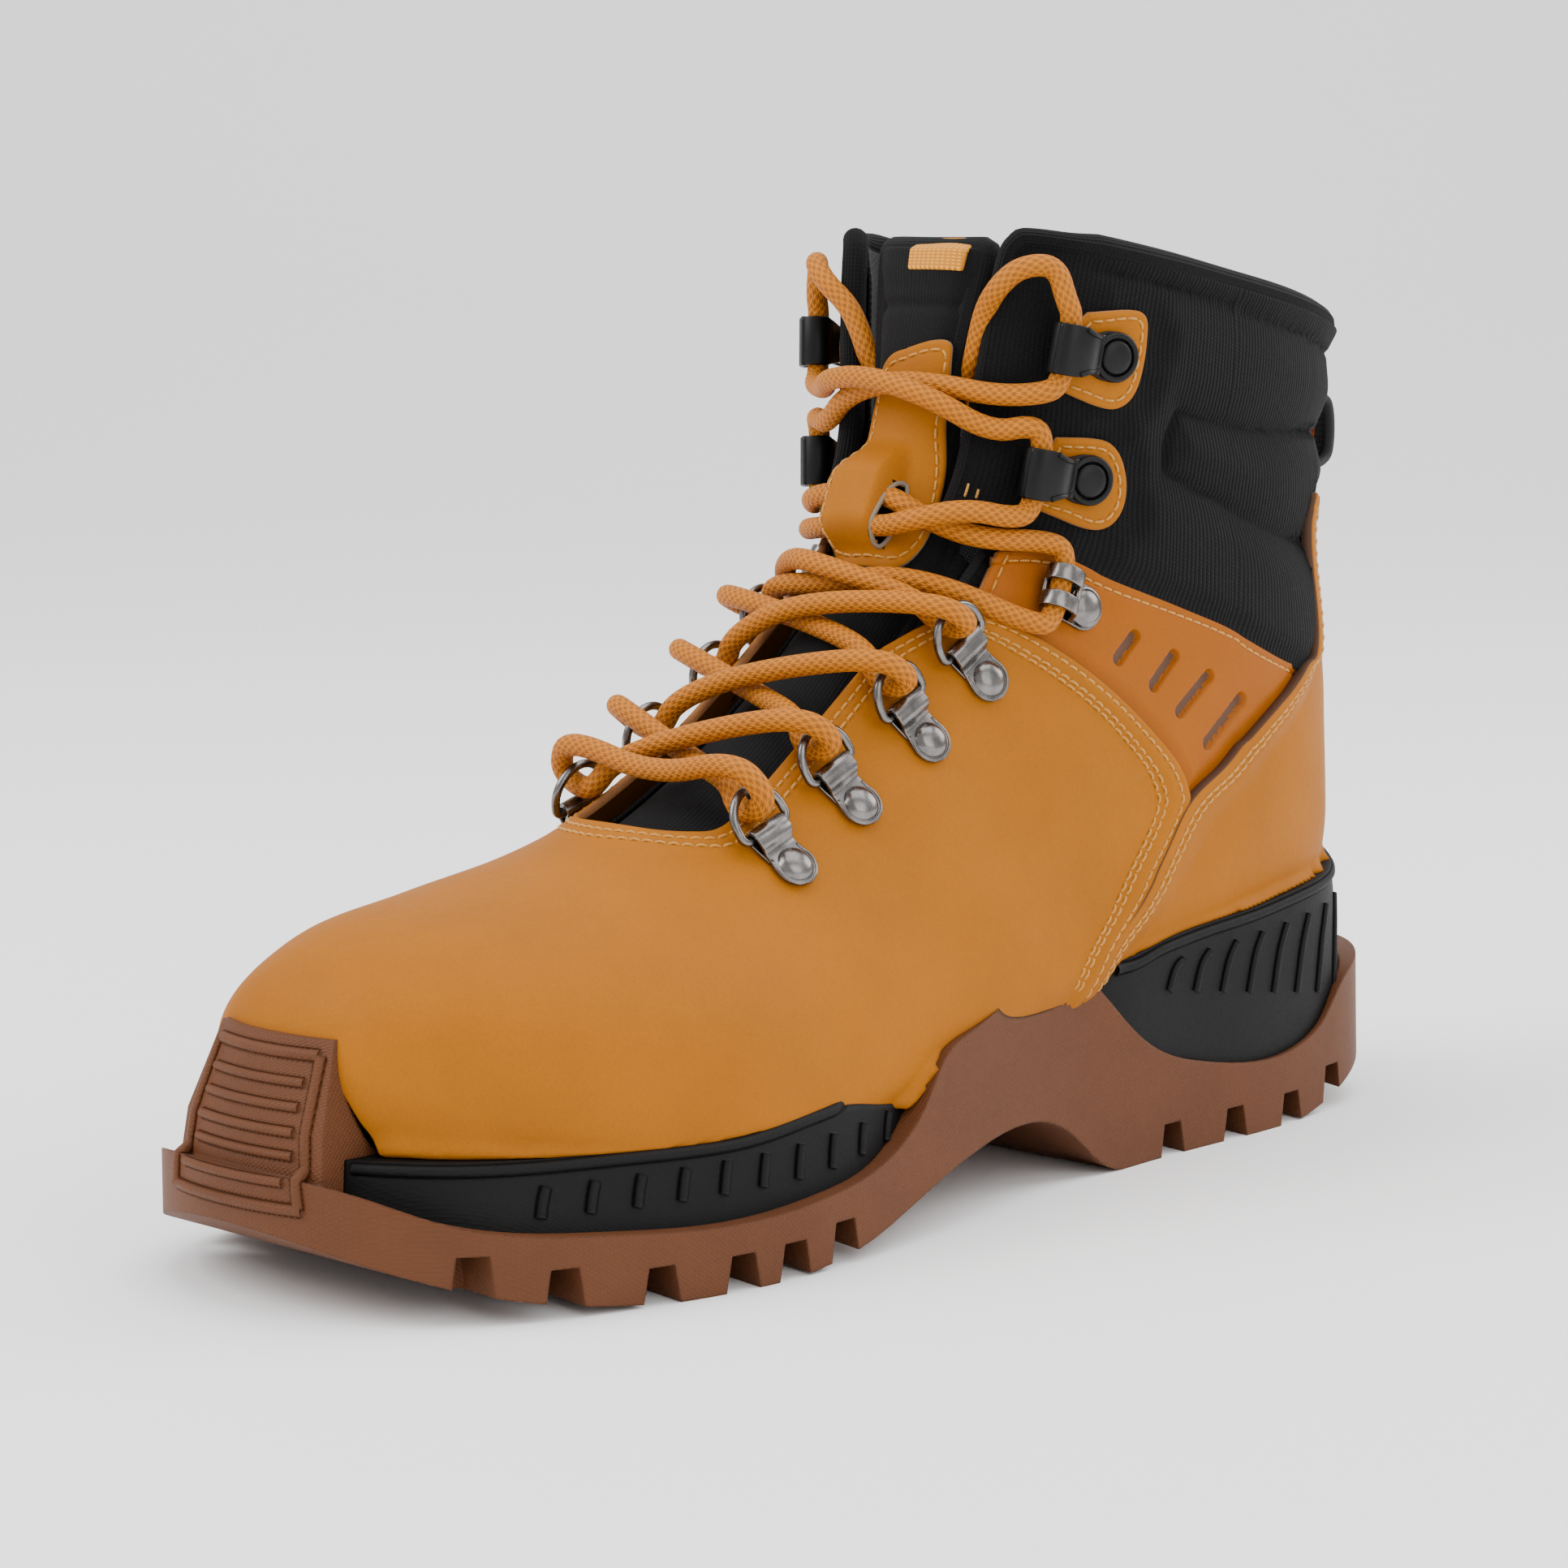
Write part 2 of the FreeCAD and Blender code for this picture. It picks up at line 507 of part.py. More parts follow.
def groove(p0, p1, low_width, top_width, z_top):
    """Channel with slanted walls from p0 to p1 (x, y), from below up to z_top."""
    (x0, y0), (x1, y1) = p0, p1
    length = math.hypot(x1 - x0, y1 - y0)
    low, top = low_width / 2, top_width / 2
    ends = [Vec(0, -low, -4), Vec(0, low, -4), Vec(0, top, z_top), Vec(0, -top, z_top)]
    b = Part.Face(Part.makePolygon(ends + ends[:1])).extrude(Vec(length, 0, 0))
    b.rotate(Vec(0, 0, 0), Vec(0, 0, 1), math.degrees(math.atan2(y1 - y0, x1 - x0)))
    b.translate(Vec(x0, y0, 0))
    return b


cuts = []
for y, depth in SIDE_GROOVES:
    z = ground_z(y) + LUG_DEPTH
    for side in (1, -1):
        w = half_width(y, side)
        cuts.append(groove((side * (w + 6), y - 1.5), (side * (w - depth), y + 1.5), 9.5, 5.5,
                           z))
        cuts.append(groove((side * (w - depth - 2.5), y + 1.5), (0, y + 7), 4.0, 3.0, z - 1.5))
outsole = rubber.cut(well).fuse(bumper).cut(last).cut(cuts)
add("outsole", outsole.removeSplitter() if len(outsole.Solids) == 1 else outsole)
add("midsole", foam_block.common(front_half).cut([last, bumper]))
add("heel_cup", foam_block.common(back_half).cut(last))

# ------------------------------------------------------------ lacing hardware
# (s, v) of each rivet on the lateral side, and the slope dz/dy of its bar or bend
RINGS = [(.436, .301, .38), (.504, .307, .48), (.569, .323, .52), (.629, .327, .62)]
STEEL_HOOK = (.725, .353, 2.1)
BLACK_HOOKS = {"lower": (.821, .313, 6.0), "upper": (.920, .337, 6.0)}
LIFT = 0.2                       # plate above the surface it is riveted to
PLATE = 0.9                      # sheet thickness of clips and hooks
BAR_U = 8.6                      # bar of a ring: along the plate from its rivet
TUBE_R = WIRE_R + RUN_CLEAR + PLATE
RING_HALF, RING_STRAIGHT = 6.5, 2.6
RING_TILT = 24.0                 # rest angle of a ring above its plate
RIVET_R, HEAD_R = 1.45, 3.9
PATCH_T = 1.4


class Place:
    """Local frame on the boot: x toward the throat, y along the bar, z outward."""

    def __init__(self, s, v, slope, d):
        side = 1 if v > 0 else -1
        self.n = normal(s, v)
        b = Vec(0, 1, slope)
        b = b - self.n * b.dot(self.n)
        b.normalize()
        self.u = self.n.cross(b) * side
        self.b = self.n.cross(self.u)
        self.o = surf(s, v, d)

    def at(self, x, y, z):
        return self.o + self.u * x + self.b * y + self.n * z

    def put(self, shape):
        u, b, n, o = self.u, self.b, self.n, self.o
        m = FreeCAD.Matrix(u.x, b.x, n.x, o.x, u.y, b.y, n.y, o.y, u.z, b.z, n.z, o.z, 0, 0, 0, 1)
        out = shape.copy()
        out.Placement = FreeCAD.Placement(m).multiply(out.Placement)
        return out


def rod(r, z0, z1, x=0.0, y=0.0):
    return Part.makeCylinder(r, z1 - z0, Vec(x, y, z0))


def dome(r, height, z):
    """Rivet head: cap of a ball, radius r at its foot."""
    ball = (r * r + height * height) / (2 * height)
    cap = Part.makeSphere(ball, Vec(0, 0, z + height - ball))
    return cap.common(Part.makeBox(4 * r, 4 * r, 4 * r, Vec(-2 * r, -2 * r, z)))


def rivet(top, inside, head_r=HEAD_R, head_h=1.7):
    """Head on top, shank through the boot, clinched flange at depth inside."""
    return dome(head_r, head_h, top).fuse([rod(RIVET_R, inside - .55, top + .4),
                                           rod(3.2, inside - .55, inside)])


def ring_clip():
    h = LIFT + TUBE_R
    body = Part.makeBox(BAR_U, 9.0, PLATE, Vec(0, -4.5, LIFT)).fuse(
        [rod(4.7, LIFT, LIFT + PLATE),
         Part.makeCylinder(TUBE_R, 9.0, Vec(BAR_U, -4.5, h), Vec(0, 1, 0))])
    bore = Part.makeCylinder(WIRE_R + RUN_CLEAR, 12, Vec(BAR_U, -6, h), Vec(0, 1, 0))
    return body.cut([bore, rod(RIVET_R + .1, -1, 3)])


def ring():
    """Closed D of round wire, bar along y through the origin, bow toward +x."""
    r, a, w = 1.7, RING_STRAIGHT, RING_HALF
    q = r * (1 - math.sqrt(.5))
    edges = [Part.makeLine(Vec(0, -(w - r), 0), Vec(0, w - r, 0)),
             Part.Arc(Vec(0, w - r, 0), Vec(q, w - q, 0), Vec(r, w, 0)).toShape(),
             Part.makeLine(Vec(r, w, 0), Vec(a, w, 0)),
             Part.Arc(Vec(a, w, 0), Vec(a + w, 0, 0), Vec(a, -w, 0)).toShape(),
             Part.makeLine(Vec(a, -w, 0), Vec(r, -w, 0)),
             Part.Arc(Vec(r, -w, 0), Vec(q, -(w - q), 0), Vec(0, -(w - r), 0)).toShape()]
    path = Part.Wire(edges)
    ring_section = Part.Wire([Part.makeCircle(WIRE_R, Vec(0, -(w - r), 0), Vec(0, 1, 0))])
    body = path.makePipeShell([ring_section], True, True)
    body.rotate(Vec(0, 0, 0), Vec(0, 1, 0), -RING_TILT)
    body.translate(Vec(BAR_U, 0, LIFT + TUBE_R))
    return body


def hook(reach, half, gap_r, flap_start, slot=0.0):
    """Open lace hook: plate on the boot, bend toward the throat, flap folded back."""
    z0 = LIFT
    zc = z0 + PLATE + gap_r
    body = Part.makeBox(reach, 2 * half, PLATE, Vec(0, -half, z0)).fuse(
        [rod(half + .2, z0, z0 + PLATE)])
    bend = Part.makeCylinder(gap_r + PLATE, 2 * half, Vec(reach, -half, zc), Vec(0, 1, 0)).cut(
        [Part.makeCylinder(gap_r, 2 * half + 2, Vec(reach, -half - 1, zc), Vec(0, 1, 0)),
         Part.makeBox(20, 2 * half + 2, 20, Vec(reach - 20, -half - 1, zc - 10))])
    flap = Part.makeBox(reach - flap_start, 2 * half, PLATE,
                        Vec(flap_start, -half, zc + gap_r)).cut(rod(half + .4, 0, 12))
    body = body.fuse([bend, flap])
    cuts = [rod(RIVET_R + .1, -1, 3)]
    if slot:
        cuts.append(Part.makeBox(reach - flap_start - 1.5 + gap_r, slot, 2 * gap_r + 4,
                                 Vec(flap_start + 3.0, -slot / 2, zc)))
    return body.cut(cuts).removeSplitter()


def hole_at(place, r, z0, z1):
    return place.put(rod(r, z0, z1))


ring_rivets, hook_rivets, hinges = [], [], []
vamp_holes = []
for side, word in ((1, "lateral"), (-1, "medial")):
    for i, (s, v, slope) in enumerate(RINGS):
        at = Place(s, side * v, slope, 0)
        add("d_ring_clip_%s_%d" % (word, i + 1), at.put(ring_clip()))
        body = ring()
        add("d_ring_%s_%d" % (word, i + 1), at.put(body))
        ring_rivets.append(at.put(rivet(LIFT + PLATE, -LEATHER - .15)))
        vamp_holes.append(hole_at(at, RIVET_R + .1, -4, 3))
        hinges.append(("d_ring_%s_%d" % (word, i + 1),
                       at.at(BAR_U, 0, LIFT + TUBE_R) + SHIFT, at.b, at))
PIECES["vamp"] = PIECES["vamp"].cut(vamp_holes)
add("d_ring_rivets", Part.makeCompound(ring_rivets))

SLOTS = [((.752, .411), (.717, .415)), ((.768, .455), (.727, .455)),
         ((.779, .497), (.731, .487)), ((.787, .535), (.734, .523))]
SLOT_R = 1.6
for side, word in ((1, "lateral"), (-1, "medial")):
    at = Place(STEEL_HOOK[0], side * STEEL_HOOK[1], STEEL_HOOK[2], 0)
    add("steel_hook_" + word, at.put(hook(9.0, 4.8, 2.75, 2.5, slot=2.6)))
    hook_rivets.append(at.put(rivet(LIFT + PLATE, -LEATHER - .15)))
    holes = [hole_at(at, RIVET_R + .1, -4, 3)]
    hinges.append(("steel_hook_" + word, None, None, at))
    for (s0, v0), (s1, v1) in SLOTS:
        a, b = surf(s0, side * v0), surf(s1, side * v1)
        n = normal((s0 + s1) / 2, side * (v0 + v1) / 2)
        along = (b - a).normalize()
        a, b = a + along * SLOT_R, b - along * SLOT_R
        across = n.cross(along).normalize() * SLOT_R
        corners = [p - n * 5 for p in (a + across, b + across, b - across, a - across)]
        block = Part.Face(Part.makePolygon(corners + corners[:1])).extrude(n * 9)
        holes += [block.fuse([Part.makeCylinder(SLOT_R, 9, a - n * 5, n),
                              Part.makeCylinder(SLOT_R, 9, b - n * 5, n)]).removeSplitter()]
    PIECES["ankle_panel_" + word] = PIECES["ankle_panel_" + word].cut(holes)

PATCHES = {"lower": ([(.772, .24), (.800, .352)], [(.846, .262), (.858, .352)]),
           "upper": ([(.880, .258), (.893, .368)], [(.948, .275), (.957, .383)])}
collar_holes = []
for side, word in ((1, "lateral"), (-1, "medial")):
    for level, (s, v, slope) in BLACK_HOOKS.items():
        at = Place(s, side * v, slope, PATCH_T + .1)
        low, high = [other(path, side) for path in PATCHES[level]]
        patch = panel(low, high, [low[0], high[0]], [low[1], high[1]], PATCH_T, .12, 8, 8, 0)
        add("black_hook_%s_%s" % (word, level), at.put(hook(13.0, 4.9, 2.75, 3.0)))
        hook_rivets.append(at.put(rivet(LIFT + PLATE, -PATCH_T - .1 - KNIT - .15)))
        hole = hole_at(at, RIVET_R + .1, -6, 3)
        add("hook_patch_%s_%s" % (word, level), patch.cut(hole))
        collar_holes.append(hole)
        hinges.append(("black_hook_%s_%s" % (word, level), None, None, at))
PIECES["collar_outer"] = PIECES["collar_outer"].cut(collar_holes)
add("hook_rivets", Part.makeCompound(hook_rivets))

# tongue patch: arched over the laces, slit on its right, and the tab on the tongue's top
PATCH_LOW, PATCH_HIGH = .642, .885


def patch_depth(s, v):
    """Flat on the tongue, but arched over the laces left of the slit."""
    lift = ease(s, .642, .668) * (1 - ease(s, .708, .760)) * (1 - ease(v, .030, .072))
    return -TONGUE_OUT + 1.7 + 6.1 * lift


patch = panel([(PATCH_LOW, -.075), (PATCH_LOW - .006, .02), (PATCH_LOW, .115)],
              [(PATCH_HIGH - .02, -.03), (PATCH_HIGH, .035), (PATCH_HIGH - .02, .098)],
              [(PATCH_LOW, -.075), (.74, -.08), (PATCH_HIGH - .02, -.03)],
              [(PATCH_LOW, .115), (.69, .145), (.74, .140), (.80, .115), (PATCH_HIGH - .02, .098)],
              patch_depth, lambda s, v: patch_depth(s, v) - 1.1, 19, 27, 0)
slit_a, slit_b = surf(.712, .052, -2), surf(.652, .050, -2)
slit_n = normal(.68, .05)
slit_across = slit_n.cross(slit_b - slit_a).normalize() * 2.6
slit_ring = [p - slit_n * 2.1 for p in (slit_a + slit_across, slit_b + slit_across,
                                        slit_b - slit_across, slit_a - slit_across)]
slit = Part.Face(Part.makePolygon(slit_ring + slit_ring[:1])).extrude(slit_n * 9)
add("tongue_patch", patch.cut(slit))
add("tongue_tab", box_panel(.957, .993, -.01, .08, -TONGUE_OUT + 1.6, -TONGUE_OUT + .2, 6, 6))

# heel pull loop: webbing bowed out from the back of the collar, both ends sewn down
LOOP_W, LOOP_T, LOOP_OUT = 18.0, 1.5, 9.0
loop_low, loop_high = surf(.945, 1.0, .2), surf(.968, 1.0, .2)
y0, z0, z1 = max(loop_low.y, loop_high.y), loop_low.z, loop_high.z
pts = [Vec(0, surf(.942, 1.0).y + .3, z0 - 3), Vec(0, y0 + 3.0, z0 + .5),
       Vec(0, y0 + LOOP_OUT - .5, z0 + 5.0), Vec(0, y0 + LOOP_OUT - 1.0, z1 + .5),
       Vec(0, surf(.972, 1.0).y + .3, z1 + 3.5)]
for i in range(len(pts)):
    pts[i] = pts[i] + Vec(-LOOP_W / 2, LOOP_T / 2 + .1, 0)
mid = Part.BSplineCurve()
mid.interpolate(pts)
line = mid.discretize(Number=25)
sides = [[], []]
for i, p in enumerate(line):
    t = line[min(i + 1, 24)] - line[max(i - 1, 0)]
    n = Vec(0, -t.z, t.y).normalize() * (LOOP_T / 2)
    sides[0].append(p + n)
    sides[1].append(p - n)
strip = []
for row in sides:
    c = Part.BSplineCurve()
    c.interpolate(row)
    strip.append(c.toShape())
face = Part.Face(Part.Wire([strip[0], Part.makeLine(sides[0][-1], sides[1][-1]), strip[1],
                            Part.makeLine(sides[1][0], sides[0][0])]))
add("heel_pull_loop", face.extrude(Vec(LOOP_W, 0, 0)))

# lace: one cord from the lateral tail, down and up the lacing, to the medial tail.
# Each corner is rounded by an arc whose tangent length is .45 of the shorter run.
LACE_ROUTE = [
    (19.9, 32.2, 125.9), (18.6, 35.1, 133.4), (16, 34, 144.5), (12.9, 31, 156.7),
    (11.8, 28.8, 164.4), (15, 26.3, 169.4), (16.9, 25.8, 175), (19.7, 24.8, 181),
    (24.9, 23.2, 185.8), (29.5, 24.8, 189.6), (34.1, 30.4, 189.9), (35.9, 31.6, 182.4),
    (36.4, 33.1, 179.5), (34.9, 31.3, 165.7), (33.5, 28.2, 163.6), (24.4, 23.1, 163),
    (13.2, 17.7, 165.3), (0, 16.3, 165.6), (-12.8, 17, 162.3), (-23.5, 22.1, 155.3),
    (-31, 26.8, 157.2), (-32, 29.1, 153.9), (-30.4, 27.5, 140.1), (-28.6, 23.9, 137.9),
    (-21.6, 15.4, 140.5), (-10.5, 12.8, 142.2), (-1.3, 11, 143.5), (8.6, 10.7, 141.3),
    (15.1, 12.7, 137.4), (25.7, 16.7, 133.8), (32.9, 32.6, 133), (34.1, 34.3, 129),
    (35.5, 28.4, 117.2), (35, 24.4, 115.8), (23.9, 9.5, 124.2), (11.1, 4.3, 126.4),
    (0, 0.9, 124.3), (-19.9, 1.2, 122.9), (-22.3, 5.3, 117.8), (-27.4, 5.9, 116.1),
    (-32.6, 4.1, 118), (-29.8, -3.6, 121), (0, -6.6, 116.7), (20, -11, 112.7),
    (22.8, -11.1, 106.5), (28, -10.5, 105.4), (32.9, -11.8, 108.3), (29.5, -18.7, 112.8),
    (0, -26, 107.7), (-15.6, -30.8, 101.2), (-18.7, -31.4, 95.1), (-24, -31, 94.5),
    (-28.6, -32.5, 97.7), (-25.1, -39.6, 101.2), (0, -40.5, 91), (18.1, -48.4, 89.3),
    (21.9, -50.1, 84), (27.3, -50, 84.2), (31.3, -51.4, 88.3), (25.2, -54.1, 94.7),
    (1.4, -53.1, 89.2), (-22.8, -54, 95.2), (-28.4, -51.3, 88.4), (-24.2, -50.1, 84.5),
    (-18.9, -50.3, 84.6), (-15.1, -49.2, 90.2), (0, -44.1, 96.4), (26.8, -38.6, 102.4),
    (31.4, -32.4, 97.8), (27, -30.9, 94.3), (21.6, -31.2, 94.6), (18.5, -29.7, 100.4),
    (0, -21.9, 102.8), (-27.7, -19.7, 110.9), (-30.4, -12.1, 108), (-25.3, -10.7, 105.4),
    (-20.2, -11.3, 106.7), (-17.5, -12.3, 113), (0, -11, 121.3), (31.3, -2.8, 122.7),
    (34.3, 4.4, 118.3), (29.1, 6.1, 116.2), (24, 5.3, 117.7), (21.6, 1.3, 122.7),
    (0, -3.9, 128.5), (-12.9, 0.7, 129.2), (-23.6, 8.9, 124.5), (-33.8, 24.4, 115.7),
    (-34.3, 28.3, 117.2), (-33.2, 34.2, 128.9), (-32, 32.6, 133), (-25.5, 18, 133.2),
    (-16.7, 11.9, 134.3), (-8.9, 9.4, 135.3), (-1.2, 7.8, 136.4), (7.4, 7.4, 136),
    (16.1, 5.8, 137.9), (25.6, 12.4, 140.4), (30.1, 23.4, 137.8), (30.7, 27.5, 140.1),
    (32.3, 29.1, 153.9), (31.4, 26.8, 157.2), (24, 21.8, 155.4), (15.2, 13, 162.8), (0, 10, 167),
    (-15.3, 13.7, 165.8), (-24.4, 22.9, 163), (-33, 28.2, 163.6), (-34.5, 31.3, 165.7),
    (-36, 33, 179.5), (-35.5, 31.6, 182.4), (-33.6, 30.4, 190), (-29.2, 24.8, 189.7),
    (-24.7, 23.2, 185.8), (-19.4, 24.8, 181), (-16.6, 25.8, 175), (-14.8, 26.3, 169.4),
    (-11.5, 28.7, 164.4), (-12.6, 30.9, 156.7), (-15.7, 34.1, 144.8), (-17.9, 35.3, 133.8),
    (-19, 32.3, 126)]
AGLET_R, AGLET_LENGTH = 1.9, 20.0


def tube(points, r):
    """Round cord along straight runs and tangent arcs; also its length and arc radii."""
    edges, radii, length, last_end = [], [], 0.0, points[0]
    for a, p, b in zip(points, points[1:], points[2:]):
        back, on = a - p, b - p
        reach = .45 * min(back.Length, on.Length)
        half_turn = (math.pi - back.getAngle(on)) / 2
        radius = reach / math.tan(half_turn)
        back.normalize()
        on.normalize()
        start, end = p + back * reach, p + on * reach
        inward = (back + on).normalize()
        middle = p + inward * (radius / math.cos(half_turn) - radius)
        edges += [Part.makeLine(last_end, start), Part.Arc(start, middle, end).toShape()]
        length += (start - last_end).Length + radius * 2 * half_turn
        radii.append(radius)
        last_end = end
    edges.append(Part.makeLine(last_end, points[-1]))
    length += (points[-1] - last_end).Length
    circle = Part.makeCircle(r, points[0], points[1] - points[0])
    body = Part.Wire(edges).makePipeShell([Part.Wire([circle])], True, False)
    return body, length, radii


lace_points = [Vec(*p) for p in LACE_ROUTE]
lace, lace_length, lace_radii = tube(lace_points, LACE_D / 2)
add("lace", lace)
print("lace length %.1f mm, arc radii %.1f to %.1f, volume %.1f of %.1f mm3" % (
    lace_length, min(lace_radii), max(lace_radii), lace.Volume,
    math.pi * LACE_D ** 2 / 4 * lace_length))
print("arc radii", [round(r, 1) for r in lace_radii])
add("lace_aglets", Part.makeCompound(
    [Part.makeCylinder(AGLET_R, AGLET_LENGTH, end, end - before)
     for end, before in ((lace_points[0], lace_points[1]), (lace_points[-1], lace_points[-2]))]))

for name, shape in sorted(PIECES.items()):
    print("%-24s solids %d  valid %s  volume %.1f cm3" % (name, len(shape.Solids),
                                                        shape.isValid(), shape.Volume / 1000))
for name, pos, axis, at in hinges:
    if pos:
        print("hinge %s pos_m %s axis %s" % (name, [round(c / 1000, 5) for c in pos],
                                             [round(c, 5) for c in axis]))
for name, shape in PIECES.items():
    out = shape.copy()
    out.translate(SHIFT)
    out.exportStep("parts/%s.step" % name)
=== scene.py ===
"""Looks of the left steel toe work boot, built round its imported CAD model.

Work is done in millimetres in the boot's own (s, v, d) coordinates, as in the part's
source: s from toe tip to collar top, v round the section, d outside the surface.
"""

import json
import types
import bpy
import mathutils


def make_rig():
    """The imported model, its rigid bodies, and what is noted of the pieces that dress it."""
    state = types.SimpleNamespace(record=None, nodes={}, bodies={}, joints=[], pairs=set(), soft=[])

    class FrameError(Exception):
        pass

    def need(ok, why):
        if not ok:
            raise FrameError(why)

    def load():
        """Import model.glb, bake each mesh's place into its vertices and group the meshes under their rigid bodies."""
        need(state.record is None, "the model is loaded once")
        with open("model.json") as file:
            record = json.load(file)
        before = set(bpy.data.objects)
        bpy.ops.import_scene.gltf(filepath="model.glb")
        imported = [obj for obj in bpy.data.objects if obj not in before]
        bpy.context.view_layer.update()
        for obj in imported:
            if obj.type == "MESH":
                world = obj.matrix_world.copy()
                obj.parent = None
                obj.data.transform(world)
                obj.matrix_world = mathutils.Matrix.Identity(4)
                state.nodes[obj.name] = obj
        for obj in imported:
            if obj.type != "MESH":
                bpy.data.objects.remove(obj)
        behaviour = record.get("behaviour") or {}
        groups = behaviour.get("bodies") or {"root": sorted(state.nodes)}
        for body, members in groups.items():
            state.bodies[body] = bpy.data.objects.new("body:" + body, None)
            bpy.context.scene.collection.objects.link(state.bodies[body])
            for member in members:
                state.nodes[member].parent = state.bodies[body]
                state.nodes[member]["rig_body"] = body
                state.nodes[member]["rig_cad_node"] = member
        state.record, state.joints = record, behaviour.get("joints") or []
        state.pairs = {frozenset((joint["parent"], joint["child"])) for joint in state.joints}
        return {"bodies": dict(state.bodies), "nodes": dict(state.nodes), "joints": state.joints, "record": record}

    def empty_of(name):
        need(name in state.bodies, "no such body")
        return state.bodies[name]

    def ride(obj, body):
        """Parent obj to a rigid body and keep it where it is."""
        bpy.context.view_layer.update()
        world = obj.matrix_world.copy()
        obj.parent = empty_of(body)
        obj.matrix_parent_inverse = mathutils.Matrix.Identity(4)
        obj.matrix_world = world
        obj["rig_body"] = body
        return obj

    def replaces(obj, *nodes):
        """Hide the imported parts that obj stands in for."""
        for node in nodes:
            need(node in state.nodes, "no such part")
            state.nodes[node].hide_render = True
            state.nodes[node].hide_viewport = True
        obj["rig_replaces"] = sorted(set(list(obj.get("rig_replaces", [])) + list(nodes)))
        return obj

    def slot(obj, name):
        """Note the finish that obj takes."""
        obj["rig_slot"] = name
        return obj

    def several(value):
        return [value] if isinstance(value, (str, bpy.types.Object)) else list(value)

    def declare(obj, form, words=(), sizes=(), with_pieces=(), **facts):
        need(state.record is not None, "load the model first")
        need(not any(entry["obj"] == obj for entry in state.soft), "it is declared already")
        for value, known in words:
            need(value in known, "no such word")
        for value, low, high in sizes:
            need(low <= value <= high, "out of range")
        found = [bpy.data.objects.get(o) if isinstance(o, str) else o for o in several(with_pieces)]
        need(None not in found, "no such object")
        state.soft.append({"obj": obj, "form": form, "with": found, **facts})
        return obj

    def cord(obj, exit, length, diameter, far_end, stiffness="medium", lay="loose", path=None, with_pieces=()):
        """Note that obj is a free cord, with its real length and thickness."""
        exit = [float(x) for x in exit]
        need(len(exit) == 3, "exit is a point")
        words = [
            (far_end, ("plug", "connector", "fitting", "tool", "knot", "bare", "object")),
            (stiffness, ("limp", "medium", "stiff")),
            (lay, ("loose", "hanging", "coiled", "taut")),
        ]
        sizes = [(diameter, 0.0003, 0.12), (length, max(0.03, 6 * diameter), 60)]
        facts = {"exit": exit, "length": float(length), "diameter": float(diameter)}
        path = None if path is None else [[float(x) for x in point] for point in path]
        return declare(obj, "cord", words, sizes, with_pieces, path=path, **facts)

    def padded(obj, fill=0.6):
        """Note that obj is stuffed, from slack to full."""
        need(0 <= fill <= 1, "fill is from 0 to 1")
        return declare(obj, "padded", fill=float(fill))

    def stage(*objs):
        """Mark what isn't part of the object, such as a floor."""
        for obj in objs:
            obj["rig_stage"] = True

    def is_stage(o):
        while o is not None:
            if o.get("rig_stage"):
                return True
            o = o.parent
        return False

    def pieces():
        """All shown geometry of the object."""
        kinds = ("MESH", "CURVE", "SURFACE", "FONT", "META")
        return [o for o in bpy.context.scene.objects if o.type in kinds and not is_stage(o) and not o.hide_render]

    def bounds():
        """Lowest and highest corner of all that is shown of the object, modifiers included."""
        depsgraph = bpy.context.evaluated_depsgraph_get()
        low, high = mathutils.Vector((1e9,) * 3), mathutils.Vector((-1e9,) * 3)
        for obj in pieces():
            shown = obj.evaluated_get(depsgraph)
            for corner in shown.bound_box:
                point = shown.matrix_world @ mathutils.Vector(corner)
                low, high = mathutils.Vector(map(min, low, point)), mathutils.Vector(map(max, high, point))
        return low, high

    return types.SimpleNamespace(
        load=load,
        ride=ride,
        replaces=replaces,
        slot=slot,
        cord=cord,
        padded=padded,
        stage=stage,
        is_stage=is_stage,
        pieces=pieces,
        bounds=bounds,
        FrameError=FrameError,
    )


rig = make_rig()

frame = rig.load()
cad_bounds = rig.bounds()

import json
import math

import bmesh
import bpy
import numpy as np
from mathutils import Vector
from mathutils.bvhtree import BVHTree

# millimetres from the boot's own frame to the shared one, as the part's source has it
SHIFT = np.array([-0.42, 0.7, 0.0])
MM = 0.001
LATERAL, MEDIAL = 1, -1
WORDS = {LATERAL: "lateral", MEDIAL: "medial"}

# ---- camera
target = np.array([0.0, 0.0, 90.0])
azimuth, elevation, distance = math.radians(43.8), math.radians(7.2), 874.0
eye = target + distance * np.array([math.sin(azimuth) * math.cos(elevation),
                                    -math.cos(azimuth) * math.cos(elevation),
                                    math.sin(elevation)])
cam = bpy.data.objects.new("camera", bpy.data.cameras.new("camera"))
bpy.context.scene.collection.objects.link(cam)
cam.location = Vector((eye + SHIFT) * MM)
cam.rotation_euler = Vector((target - eye)).to_track_quat("-Z", "Y").to_euler()
cam.data.lens = 96.4
cam.data.sensor_width = 36.0
cam.data.shift_x = -0.0316
cam.data.shift_y = -0.0233
cam.data.clip_start = 0.02
bpy.context.scene.camera = cam

